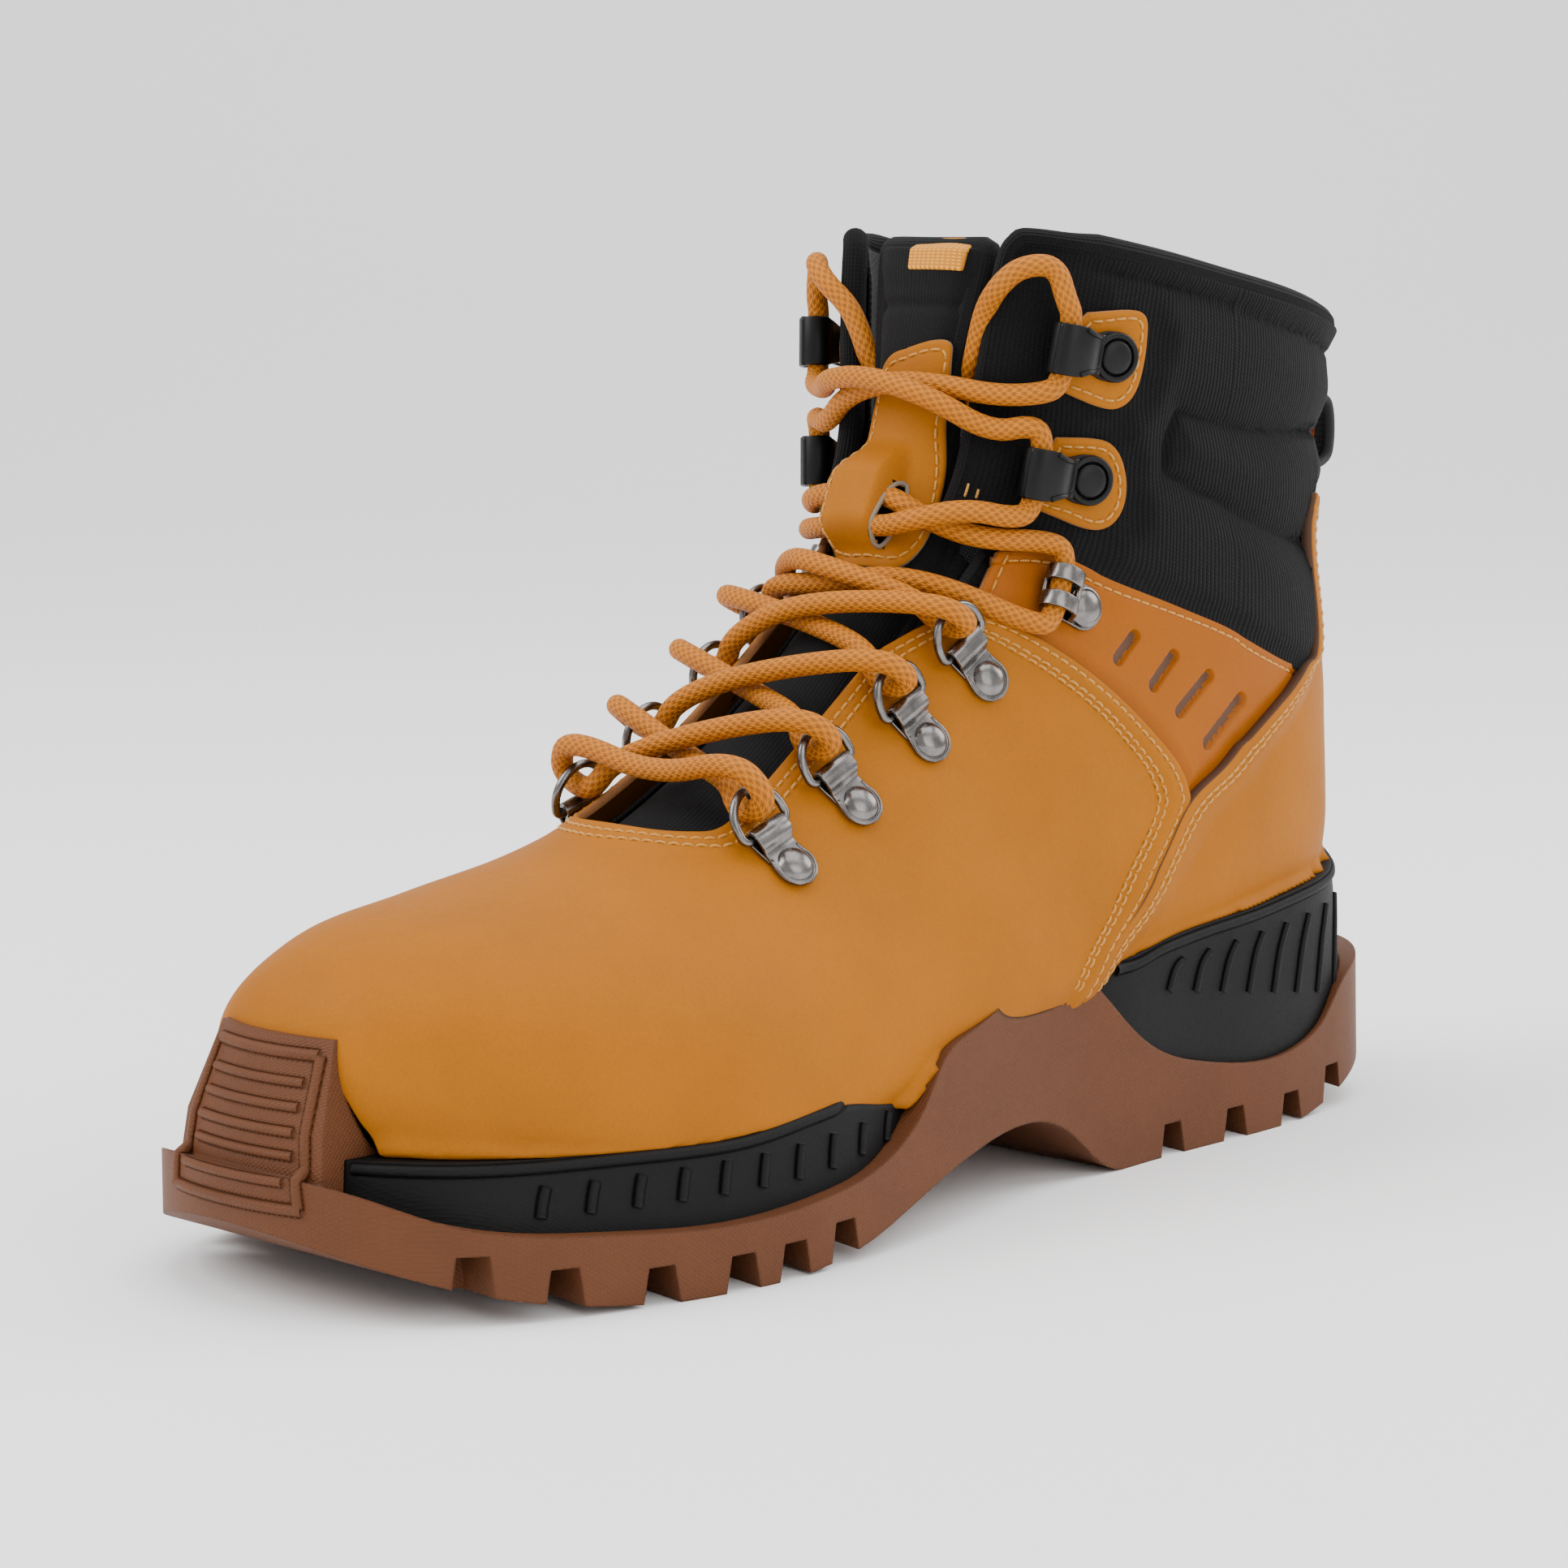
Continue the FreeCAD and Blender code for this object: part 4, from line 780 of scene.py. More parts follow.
def area_light(name, place, aim, size, power, size_y=None):
    lamp = bpy.data.lights.new(name, "AREA")
    lamp.shape, lamp.size, lamp.size_y = "RECTANGLE", size, size_y or size
    lamp.energy = power
    ob = bpy.data.objects.new(name, lamp)
    bpy.context.scene.collection.objects.link(ob)
    ob.location = place
    ob.rotation_euler = (Vector(aim) - Vector(place)).to_track_quat("-Z", "Y").to_euler()


area_light("key", (-0.75, -1.15, 1.25), (0, 0, 0.08), 1.1, 27)
area_light("fill", (1.35, -0.35, 0.75), (0, 0, 0.08), 1.2, 11)
area_light("top", (0.1, 0.2, 1.7), (0, 0, 0.05), 1.6, 24)
area_light("rim", (0.6, 1.3, 0.9), (0, 0, 0.1), 0.9, 12)
world = bpy.data.worlds.new("world")
bpy.context.scene.world = world
world.use_nodes = True
world.node_tree.nodes["Background"].inputs[0].default_value = (1.0, 1.0, 1.0, 1.0)
world.node_tree.nodes["Background"].inputs[1].default_value = 0.85


# ---- the lace
LACE_D = 4.6
LACE_LENGTH = 1.28              # metres, the lace of the part
LACE_ROUTE = [
    (19.9, 32.2, 125.9), (18.6, 35.1, 133.4), (16, 34, 144.5), (12.9, 31, 156.7),
    (11.8, 28.8, 164.4), (15, 26.3, 169.4), (16.9, 25.8, 175), (19.7, 24.8, 181),
    (24.9, 23.2, 185.8), (29.5, 24.8, 189.6), (34.1, 30.4, 189.9), (35.9, 31.6, 182.4),
    (36.4, 33.1, 179.5), (34.9, 31.3, 165.7), (33.5, 28.2, 163.6), (24.4, 23.1, 163),
    (13.2, 17.7, 165.3), (0, 16.3, 165.6), (-12.8, 17, 162.3), (-23.5, 22.1, 155.3),
    (-31, 26.8, 157.2), (-32, 29.1, 153.9), (-30.4, 27.5, 140.1), (-28.6, 23.9, 137.9),
    (-21.6, 15.4, 140.5), (-10.5, 12.8, 142.2), (-1.3, 11, 143.5), (8.6, 10.7, 141.3),
    (15.1, 12.7, 137.4), (25.7, 16.7, 133.8), (32.9, 32.6, 133), (34.1, 34.3, 129),
    (35.5, 28.4, 117.2), (35, 24.4, 115.8), (23.9, 9.5, 124.2), (11.1, 4.3, 126.4),
    (0, 0.9, 124.3), (-19.9, 1.2, 122.9), (-22.3, 5.3, 117.8), (-27.4, 5.9, 116.1),
    (-32.6, 4.1, 118), (-29.8, -3.6, 121), (0, -6.6, 116.7), (20, -11, 112.7),
    (22.8, -11.1, 106.5), (28, -10.5, 105.4), (32.9, -11.8, 108.3), (29.5, -18.7, 112.8),
    (0, -26, 107.7), (-15.6, -30.8, 101.2), (-18.7, -31.4, 95.1), (-24, -31, 94.5),
    (-28.6, -32.5, 97.7), (-25.1, -39.6, 101.2), (0, -40.5, 91), (18.1, -48.4, 89.3),
    (21.9, -50.1, 84), (27.3, -50, 84.2), (31.3, -51.4, 88.3), (25.2, -54.1, 94.7),
    (1.4, -53.1, 89.2), (-22.8, -54, 95.2), (-28.4, -51.3, 88.4), (-24.2, -50.1, 84.5),
    (-18.9, -50.3, 84.6), (-15.1, -49.2, 90.2), (0, -44.1, 96.4), (26.8, -38.6, 102.4),
    (31.4, -32.4, 97.8), (27, -30.9, 94.3), (21.6, -31.2, 94.6), (18.5, -29.7, 100.4),
    (0, -21.9, 102.8), (-27.7, -19.7, 110.9), (-30.4, -12.1, 108), (-25.3, -10.7, 105.4),
    (-20.2, -11.3, 106.7), (-17.5, -12.3, 113), (0, -11, 121.3), (31.3, -2.8, 122.7),
    (34.3, 4.4, 118.3), (29.1, 6.1, 116.2), (24, 5.3, 117.7), (21.6, 1.3, 122.7),
    (0, -3.9, 128.5), (-12.9, 0.7, 129.2), (-23.6, 8.9, 124.5), (-33.8, 24.4, 115.7),
    (-34.3, 28.3, 117.2), (-33.2, 34.2, 128.9), (-32, 32.6, 133), (-25.5, 18, 133.2),
    (-16.7, 11.9, 134.3), (-8.9, 9.4, 135.3), (-1.2, 7.8, 136.4), (7.4, 7.4, 136),
    (16.1, 5.8, 137.9), (25.6, 12.4, 140.4), (30.1, 23.4, 137.8), (30.7, 27.5, 140.1),
    (32.3, 29.1, 153.9), (31.4, 26.8, 157.2), (24, 21.8, 155.4), (15.2, 13, 162.8), (0, 10, 167),
    (-15.3, 13.7, 165.8), (-24.4, 22.9, 163), (-33, 28.2, 163.6), (-34.5, 31.3, 165.7),
    (-36, 33, 179.5), (-35.5, 31.6, 182.4), (-33.6, 30.4, 190), (-29.2, 24.8, 189.7),
    (-24.7, 23.2, 185.8), (-19.4, 24.8, 181), (-16.6, 25.8, 175), (-14.8, 26.3, 169.4),
    (-11.5, 28.7, 164.4), (-12.6, 30.9, 156.7), (-15.7, 34.1, 144.8), (-17.9, 35.3, 133.8),
    (-19, 32.3, 126)
]


def along_nurbs(name, points):
    """Dense line of the smooth spline that has these control points, in millimetres."""
    data = bpy.data.curves.new(name, "CURVE")
    data.dimensions = "3D"
    spline = data.splines.new("NURBS")
    spline.points.add(len(points) - 1)
    for p, q in zip(spline.points, points):
        p.co = (*((np.array(q) + SHIFT) * MM), 1.0)
    spline.order_u = 3
    spline.use_endpoint_u = True
    data.resolution_u = 12
    ob = bpy.data.objects.new(name, data)
    bpy.context.scene.collection.objects.link(ob)
    bpy.context.view_layer.update()
    line = bpy.data.meshes.new_from_object(ob)
    pts = np.array([v.co for v in line.vertices]) / MM - SHIFT
    bpy.data.meshes.remove(line)
    bpy.data.objects.remove(ob)
    return pts


def on(obj, slot, *nodes, body="boot"):
    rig.ride(obj, body)
    if nodes:
        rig.replaces(obj, *nodes)
    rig.slot(obj, slot)
    return obj


lace_line = along_nurbs("lace_line", LACE_ROUTE)
lace_line = resample(lace_line, int(run_of(lace_line)[-1] / 0.8))
verts, faces = tube_mesh([lace_line], LACE_D / 2, 20)
run = np.repeat(run_of(lace_line), 20)
turn = np.tile(np.linspace(0, 1, 20, endpoint=False), len(lace_line))
lace = build("lace_cord", verts, faces, BRAID, uv=np.stack([turn, run], 1))
# the seam column of the UV map: its far corners read turn 1 instead of 0
layer, me = lace.data.uv_layers[0], lace.data
flat = np.zeros(len(me.loops) * 2, np.float32)
layer.data.foreach_get("uv", flat)
flat = flat.reshape(-1, 2)
for poly in me.polygons:
    if len(poly.loop_indices) == 4:
        idx = list(poly.loop_indices)
        if flat[idx, 0].max() - flat[idx, 0].min() > 0.5:
            for k in idx:
                if flat[k, 0] < 0.5:
                    flat[k, 0] += 1.0
layer.data.foreach_set("uv", flat.ravel())
on(lace, "lace_cord", "lace")

tips = []
for end, before in ((lace_line[0], lace_line[3]), (lace_line[-1], lace_line[-4])):
    axis = unit(end - before)
    z = np.array([-1.0, 0, 0.6, 1.2, 18.4, 19.4, 19.9, 20.0])
    tips.append(end + axis * z[:, None])
radii = np.array([1.7, 2.05, 2.12, 2.0, 1.82, 1.75, 1.4, 0.5])
verts, faces = tube_mesh(tips, radii, 20)
aglets = on(build("aglets", verts, faces, PLASTIC_TIP), "aglet_plastic", "lace_aglets")
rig.cord(lace, exit=((lace_line[0] + SHIFT) * MM).tolist(),
        length=LACE_LENGTH, diameter=LACE_D * MM, far_end="fitting",
        stiffness="limp", lay="loose", path=((lace_line + SHIFT) * MM).tolist(),
        with_pieces=[aglets])

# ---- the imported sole, to fit things to
def cad_copy(name):
    """Points (mm, boot frame) and triangles of a CAD node, and a tree to aim at it."""
    ob = bpy.data.objects[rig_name(name)]
    world = np.array(ob.matrix_world)
    co = np.array([v.co for v in ob.data.vertices]) @ world[:3, :3].T + world[:3, 3]
    co = co / MM - SHIFT
    polys = [tuple(p.vertices) for p in ob.data.polygons]
    return co, polys, BVHTree.FromPolygons(co.tolist(), polys)


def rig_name(node):
    for ob in bpy.data.objects:
        if ob.get("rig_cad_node") == node:
            return ob.name
    raise SystemExit("no node " + node)


SOLE = {name: cad_copy(name) for name in ("outsole", "midsole", "heel_cup")}
RUBBER_TOP, GAP_REACH, MOST_GAP, REST_GAP, SPREADS = 64, 8.0, 2.6, 0.1, 7


def hugging(flat, N, h):
    """Extra height that makes the leather's lower rim meet the rubber round it."""
    P = flat + N * h[..., None]
    need = np.zeros(h.shape)
    for i, j in np.argwhere(P[..., 2] < RUBBER_TOP):
        start, way = Vector(P[i, j] - N[i, j] * 1.0), Vector(N[i, j])
        hits = [part[2].ray_cast(start, way, GAP_REACH) for part in SOLE.values()]
        gaps = [hit[3] - 1.0 for hit in hits if hit[0] is not None]
        if gaps:
            need[i, j] = max(min(max(min(gaps), 0), MOST_GAP) - REST_GAP, 0)
    grown = need.copy()
    for _ in range(SPREADS):
        wide = np.pad(grown, 1, mode="edge")
        grown = (wide[:-2, 1:-1] + wide[2:, 1:-1] + wide[1:-1, :-2] + wide[1:-1, 2:]
                 + 2 * grown) / 6
        grown = np.maximum(grown, need * 0.96)
    return grown


# ---- leather panels
FEATHER = [(.600, .735), (.555, .74), (.499, .74), (.455, .735), (.414, .73), (.363, .725),
           (.302, .725), (.255, .725), (.203, .735), (.150, .74), (.101, .74), (.066, .71),
           (.042, .58), (.036, .35), (.036, 0)]
THROAT = [(.654, .267), (.625, .222), (.599, .195), (.578, .181), (.518, .171), (.455, .173),
          (.419, .172), (.402, .140), (.388, .08), (.383, 0)]
VAMP_REAR_LOW = [(.600, .735), (.619, .664), (.645, .623), (.668, .591), (.699, .557)]
VAMP_TOP_REAR = [(.654, .267), (.671, .319), (.684, .371), (.695, .419), (.704, .465),
                 (.709, .515), (.706, .543), (.699, .557)]
ANKLE_TOP = [(.706, .249), (.745, .305), (.770, .377), (.794, .449), (.816, .527),
             (.836, .641)]
ANKLE_FRONT = [(.654, .267), (.669, .257), (.706, .249)]
ANKLE_REAR = [(.699, .557), (.728, .545), (.765, .545), (.799, .579), (.836, .641)]
HEEL_FRONT_UP = [(.836, .641), (.850, .674), (.880, .688), (.905, .685), (.922, .69)]
HEEL_TOP = [(.922, .69), (.926, .84), (.927, 1.0)]
HEEL_BOTTOM = [(.600, .735), (.655, .782), (.71, .82), (.745, .90), (.755, 1.0)]
VAMP_SIDE = VAMP_REAR_LOW[:-1] + VAMP_TOP_REAR[::-1]
HEEL_SIDE = VAMP_REAR_LOW[:-1] + ANKLE_REAR[:-1] + HEEL_FRONT_UP


def length_of(path):
    return run_of(on_boot(path, 80))[-1]


def fitted(bottom, top, left, right, pitch=1.0):
    """Grid of (s, v) whose cells are about pitch millimetres."""
    nu = int(max(length_of(bottom), length_of(top)) / pitch) + 2
    nv = int(max(length_of(left), length_of(right)) / pitch) + 2
    return grid_sv(bottom, top, left, right, nu, nv)


def edge_run(P, edge):
    """Distance of each grid point from one edge, along the grid."""
    axis = 1 if edge in ("bottom", "top") else 0
    step = np.linalg.norm(np.diff(P, axis=axis), axis=-1)
    run = np.cumsum(step, axis=axis)
    run = np.concatenate([np.zeros_like(run.take([0], axis)), run], axis)
    return run.take([-1], axis) - run if edge in ("top", "right") else run


def row_line(P, N, edge, inset, skip=0.0):
    """Points and normals of a line kept inset from an edge of a grid."""
    run = edge_run(P, edge)
    if edge in ("left", "right"):
        run, P, N = run.T, P.transpose(1, 0, 2), N.transpose(1, 0, 2)
    if edge in ("top", "right"):
        run, P, N = run[:, ::-1], P[:, ::-1], N[:, ::-1]
    pts = np.array([[np.interp(inset, r, p[:, k]) for k in range(3)] for r, p in zip(run, P)])
    nrm = np.array([[np.interp(inset, r, n[:, k]) for k in range(3)] for r, n in zip(run, N)])
    keep = run_of(pts)
    keep = (keep >= skip) & (keep <= keep[-1] - skip)
    return pts[keep], unit(nrm[keep])


STITCH_PITCH, STITCH_R = 2.7, 0.3


def stitches(name, rows):
    """All the stitches of some rows: short twisted threads that dip in at both ends."""
    along, lift = [0.09, 0.2, 0.5, 0.8, 0.91], [-0.42, 0.02, 0.2, 0.02, -0.42]
    V, F, U, first = [], [], [], 0
    ang = np.linspace(0, 2 * np.pi, 6, endpoint=False)
    for pts, nrm in rows:
        run = run_of(pts)
        n = int(run[-1] / STITCH_PITCH)
        if n < 1:
            continue
        t = (np.arange(n)[:, None] + np.array(along)[None]) * (run[-1] / n)
        C = np.stack([np.interp(t, run, pts[:, k]) for k in range(3)], -1)
        Nn = unit(np.stack([np.interp(t, run, nrm[:, k]) for k in range(3)], -1))
        C = C + Nn * np.array(lift)[None, :, None]
        T = unit(np.gradient(C, axis=1))
        B = unit(np.cross(T, Nn))
        Nn = np.cross(B, T)
        ring = (C[:, :, None] + STITCH_R * (Nn[:, :, None] * np.cos(ang)[:, None]
                                            + B[:, :, None] * np.sin(ang)[:, None]))
        V.append(ring.reshape(-1, 3))
        one = np.array(grid_faces(len(along), 6, wrap_v=True)).reshape(-1, 4)
        starts = first + np.arange(n)[:, None, None] * len(along) * 6
        F.append((one[None] + starts).reshape(-1, 4))
        first += n * len(along) * 6
        u = np.broadcast_to(np.array(along)[None, :, None] * STITCH_PITCH, ring.shape[:3])
        w = np.broadcast_to(ang[None, None] / (2 * np.pi), ring.shape[:3])
        U.append(np.stack([w, u], -1).reshape(-1, 2))
    ob = build(name, np.concatenate(V), np.concatenate(F), THREAD, uv=np.concatenate(U))
    return on(ob, "nubuck")


def waves(P, size=0.16):
    """Slow, low undulation of hand-lasted leather."""
    x, y, z = P[..., 0], P[..., 1], P[..., 2]
    return size * (np.sin(x / 7.3 + y / 11.9 + 1.3) * np.cos(z / 9.1 + y / 17.0)
                   + 0.6 * np.sin(y / 6.1 - z / 8.7 + 0.4))


def leather(name, sv, mats, depth, rows, slot, nodes, thick=1.9, r=0.5, channel=0.32,
            shape=None, face_of=None):
    """A stitched panel. rows is a list of (edge, inset, skip at both ends)."""
    s, v = sv[..., 0], sv[..., 1]
    flat = surf(s, v)
    N = normal(s, v)
    h = depth(flat) if callable(depth) else np.full(s.shape, depth)
    h = h + waves(flat)
    if name in ("vamp", "heel_panel"):
        h = h + hugging(flat, N, h)
    for edge, inset, skip in rows:
        h = h - channel * np.exp(-((edge_run(flat, edge) - inset) / 0.6) ** 2)
    if shape is not None:
        h = h + shape(flat)
    P = flat + N * h[..., None]
    ob = sheet(name, P, mats, thick, r, facing(P, N))
    if face_of is not None:
        middle = (flat[:-1, :-1] + flat[1:, 1:]) / 2
        index = np.zeros(len(ob.data.polygons), np.int32)
        ob.data.polygons.foreach_get("material_index", index)
        chosen = face_of(middle).ravel()
        index[:len(chosen)][chosen] = len(mats) - 1
        ob.data.polygons.foreach_set("material_index", index)
    on(ob, slot, *nodes)
    return [row_line(P, N, *row) for row in rows]


thread_rows = []
vamp_sv = fitted(both_sides(FEATHER), both_sides(THROAT), VAMP_SIDE, other(VAMP_SIDE, -1))


def vamp_depth(P):
    near = np.minimum(edge_run(P, "left"), edge_run(P, "right"))
    throat = edge_run(P, "top")
    return (0.15 + 0.75 * (1 - ease(edge_run(P, "bottom"), 8, 26))
            + 1.55 * (1 - ease(near, 2, 12)) + 0.5 * (1 - ease(throat, 1, 8))
            * ease(near, 0, 10))


thread_rows += leather("vamp", vamp_sv, [NUBUCK, EDGE_TAN], vamp_depth,
                       [("left", 2.2, 1), ("right", 2.2, 1), ("top", 2.1, 3), ("top", 4.6, 8),
                        ("left", 7.0, 4), ("right", 7.0, 4), ("left", 9.0, 5),
                        ("right", 9.0, 5)], "nubuck", ["vamp"])

SLOTS = [((.752, .411), (.717, .415)), ((.768, .455), (.727, .455)),
         ((.779, .497), (.731, .487)), ((.787, .535), (.734, .523))]
for side in (LATERAL, MEDIAL):
    axes = []
    for a, b in SLOTS:
        ends = surf(np.array([a[0], b[0]]), side * np.array([a[1], b[1]]))
        run = unit(ends[1] - ends[0]) * 1.6
        axes.append(np.linspace(ends[0] + run, ends[1] - run, 30))
    axes = np.concatenate(axes)

    def slot_dip(P, axes=axes):
        return -1.5 * (1 - ease(gap_to(P, axes), 1.15, 1.75))

    # faces of the slot floors, which take the dark brown as painted shade in the slots
    def painted_slot_shade(M, axes=axes):
        return gap_to(M, axes) < 1.2

    def ankle_depth(P):
        near = np.minimum(edge_run(P, "bottom"), edge_run(P, "right"))
        return 0.25 - 0.9 * (1 - ease(near, 0, 5))

    sv = fitted(other(VAMP_TOP_REAR, side), other(ANKLE_TOP, side),
                other(ANKLE_FRONT, side), other(ANKLE_REAR, side), 0.36)
    # the third material, dark brown, is painted shade on the slot floors
    thread_rows += leather("ankle_panel_" + WORDS[side], sv,
                           [ANKLE_LEATHER, EDGE_TAN, EDGE_BROWN_AND_SLOT_SHADE], ankle_depth,
                           [("top", 2.2, 3), ("left", 2.2, 0)], "smooth_leather",
                           ["ankle_panel_" + WORDS[side]], shape=slot_dip, face_of=painted_slot_shade)


def heel_depth(P):
    near = np.minimum(edge_run(P, "left"), edge_run(P, "right"))
    return 0.2 + 2.0 * (1 - ease(near, 2, 12)) + 0.7 * (1 - ease(edge_run(P, "top"), 1, 7))


heel_sv = fitted(round_back(HEEL_BOTTOM), round_back(HEEL_TOP), HEEL_SIDE,
                 back_other(HEEL_SIDE))
thread_rows += leather("heel_panel", heel_sv, [NUBUCK, EDGE_BROWN_AND_SLOT_SHADE], heel_depth,
                       [("left", 2.6, 1), ("right", 2.6, 1), ("left", 4.6, 2),
                        ("right", 4.6, 2), ("top", 2.6, 3)], "nubuck", ["heel_panel"],
                       thick=2.6, r=0.3)

# ---- padded knit collar
COLLAR_LOW = ([(.700, .168), (.712, .225)] + ANKLE_TOP[1:]
              + [(.850, .672), (.880, .688), (.900, .692), (.914, .702), (.920, .73),
                 (.922, .78), (.922, .84), (.922, 1.0)])
COLLAR_SEAMS = [[(.911, .443), (.925, .52), (.940, .62), (.952, .75), (.960, 1.0)],
                [(.911, .443), (.890, .428), (.869, .423)],
                [(.869, .423), (.873, .463), (.883, .535), (.898, .666), (.905, .69)],
                [(.978, .17), (.981, .40), (.982, .70), (.982, 1.0)]]
COLLAR_THICK = 3.8


def foam_thickness(v):
    a = np.abs(np.where(v <= 1, v, 2 - v))
    return 1.6 + 4.9 * ease(a, .24, .40)


def puffed(flat, lines, height, spread, depth):
    """Padding that stands up between its seams."""
    gap = gap_to(flat, lines)
    return height * (1 - np.exp(-(gap / spread) ** 2)) - depth * np.exp(-(gap / 0.9) ** 2)


HOOK_PATCHES = {"upper": [(.944, .301), (.958, .373), (.941, .385), (.907, .375),
                          (.886, .347), (.878, .301), (.880, .265), (.912, .262)],
                "lower": [(.836, .273), (.857, .337), (.846, .361), (.821, .361),
                          (.792, .335), (.775, .287), (.768, .247), (.800, .250)]}


def shrunk(outline, k):
    """Surface points of an (s, v) outline, drawn in toward its middle by the part k."""
    o = np.array(outline)
    return surf(*((1 - k) * o.T + k * o.mean(0)[:, None]))


PATCH_AREA = np.concatenate([shrunk(other(path, side), k) for path in HOOK_PATCHES.values()
                             for k in (0.0, 0.35, 0.7) for side in (LATERAL, MEDIAL)])
SEAM_LINES = np.concatenate([on_boot(way, 120) for path in COLLAR_SEAMS
                             for way in (path, back_other(path))])
COLLAR_TOP = [(.985, .168), (.989, .40), (.990, .70), (.990, 1.0)]
collar_sv = fitted(round_back(COLLAR_LOW), round_back(COLLAR_TOP),
                   [(.700, .168), (.985, .168)], [(.700, 1.832), (.985, 1.832)], 1.15)
cs, cv = collar_sv[..., 0], collar_sv[..., 1]
flat, N = surf(cs, cv), normal(cs, cv)
room = ease(foam_thickness(cv), 1.6, 5.5)
low_edge = edge_run(flat, "bottom")
h = (puffed(flat, SEAM_LINES, 1.9, 5.5, 1.3) * (0.25 + 0.75 * room)
     * (0.15 + 0.85 * ease(gap_to(flat, PATCH_AREA), 3.0, 10.0))
     - 1.7 * (1 - ease(low_edge, 0, 6)) + waves(flat, 0.12)
     - 2.2 * (1 - ease(low_edge, 3.5, 10)) * ease(1 - np.abs(cv - 1), .70, .78))
P = flat + N * h[..., None]
collar = sheet("collar", P, [KNIT, KNIT], 1.3, 0.5, facing(P, N))
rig.padded(on(collar, "knit_cloth", "collar_outer", "collar_padding"), fill=0.7)


def edge_roll(name, path, outer, inner, mat, wobble, sides=16):
    """Bound edge: a full round over both faces along an (s, v) path."""
    s, v = path[:, 0], path[:, 1]
    a, b = surf(s, v, outer(s, v)), surf(s, v, -inner(s, v))
    mid, half = (a + b) / 2, np.linalg.norm(a - b, axis=1) / 2
    T = unit(np.gradient(mid, axis=0))
    across = unit(a - b)
    up = unit(np.cross(T, across))
    across = np.cross(up, T)
    ang = np.linspace(0, 2 * np.pi, sides, endpoint=False)
    bow = 1 + wobble * np.sin(run_of(mid) / 6.5)
    ring = (mid[:, None] + across[:, None] * (half * bow)[:, None, None]
            * np.cos(ang)[None, :, None]
            + up[:, None] * (np.minimum(half, 3.6) * bow)[:, None, None]
            * np.sin(ang)[None, :, None])
    n = len(path)
    faces = grid_faces(n, sides, wrap_v=True).tolist()
    faces += [list(range(sides))[::-1], [(n - 1) * sides + k for k in range(sides)]]
    run = run_of(mid)
    uv = np.stack([np.tile(np.arange(sides) * 1.6, n), np.repeat(run, sides)], 1) / 10
    return build(name, ring.reshape(-1, 3), faces, mat, uv=uv)


RIM = [(.712, .170), (.80, .170), (.90, .170), (.965, .170), (.986, .178), (.992, .21),
       (.992, .40), (.992, .70), (.992, 1.0)]
rim = edge_roll("collar_rim", even(round_back(RIM), 760), lambda s, v: np.full(s.shape, 0.5),
                lambda s, v: COLLAR_THICK - 0.5 + foam_thickness(v), KNIT, 0.015)
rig.padded(on(rim, "knit_cloth", "collar_rim"), fill=0.8)


def inner_sheet(name, sv, depth, mat, slot, nodes, puff=0.0):
    """Lining seen from inside the boot."""
    s, v = sv[..., 0], sv[..., 1]
    flat, N = surf(s, v), normal(s, v)
    d = depth(s, v) if callable(depth) else np.full(s.shape, float(depth))
    if puff:
        edge = np.minimum(edge_run(flat, "bottom"), edge_run(flat, "top"))
        d = d - puff * ease(edge, 0, 9)
    P = flat + N * (d + waves(flat, 0.1))[..., None]
    return on(sheet(name, P, mat, 0.7, 0.3, -facing(P, N)), slot, *nodes)


PAD_LOW = [(.723, .19), (.736, .30), (.768, .42), (.803, .53), (.838, .66), (.858, .80),
           (.858, 1.0)]
inner_sheet("collar_lining",
            fitted(round_back(PAD_LOW), round_back([(.986, .19), (.986, 1.0)]),
                   [(.723, .19), (.986, .19)], [(.723, 1.81), (.986, 1.81)], 1.8),
            lambda s, v: -COLLAR_THICK + 0.1 - foam_thickness(v), LINING, "lining_mesh",
            ["collar_lining"], 1.0)
VAMP_LINING_LOW = [(.60, .76), (.46, .76), (.36, .76), (.25, .76), (.16, .76), (.115, .74),
                   (.09, .62), (.082, .35), (.082, 0)]
VAMP_LINING_TOP = [(.712, .235), (.60, .215), (.50, .20), (.425, .195), (.398, .12),
                   (.388, 0)]
LINING_FRONT = [(.60, .76), (.66, .60), (.70, .45), (.712, .30), (.712, .235)]
inner_sheet("vamp_lining", fitted(both_sides(VAMP_LINING_LOW), both_sides(VAMP_LINING_TOP),
                                  LINING_FRONT, other(LINING_FRONT, -1), 2.0),
            -5.3, LINING, "lining_mesh", ["vamp_lining"])
HEEL_LINING_FRONT = LINING_FRONT[:-1] + [(.716, .24)]
inner_sheet("heel_lining",
            fitted(round_back([(.60, .76), (.66, .79), (.715, .86), (.742, .93), (.75, 1.0)]),
                   round_back([(.716, .24), (.734, .31), (.765, .43), (.80, .54), (.835, .67),
                               (.855, .80), (.855, 1.0)]),
                   HEEL_LINING_FRONT, back_other(HEEL_LINING_FRONT), 2.0),
            -5.3, LINING, "lining_mesh", ["heel_lining"])

# ---- tongue
TONGUE_OUT, TONGUE_IN = 5.8, 13.6


def tongue_half(s, low, high):
    return low + (high - low) * ease(s, .66, .80)


def tongue_grid(s0, s1, low, high, nu=90, nv=230):
    s = np.linspace(s0, s1, nv)[None, :]
    v = np.linspace(1, -1, nu)[:, None] * tongue_half(s, low, high)
    return np.stack(np.broadcast_arrays(s, v), -1)


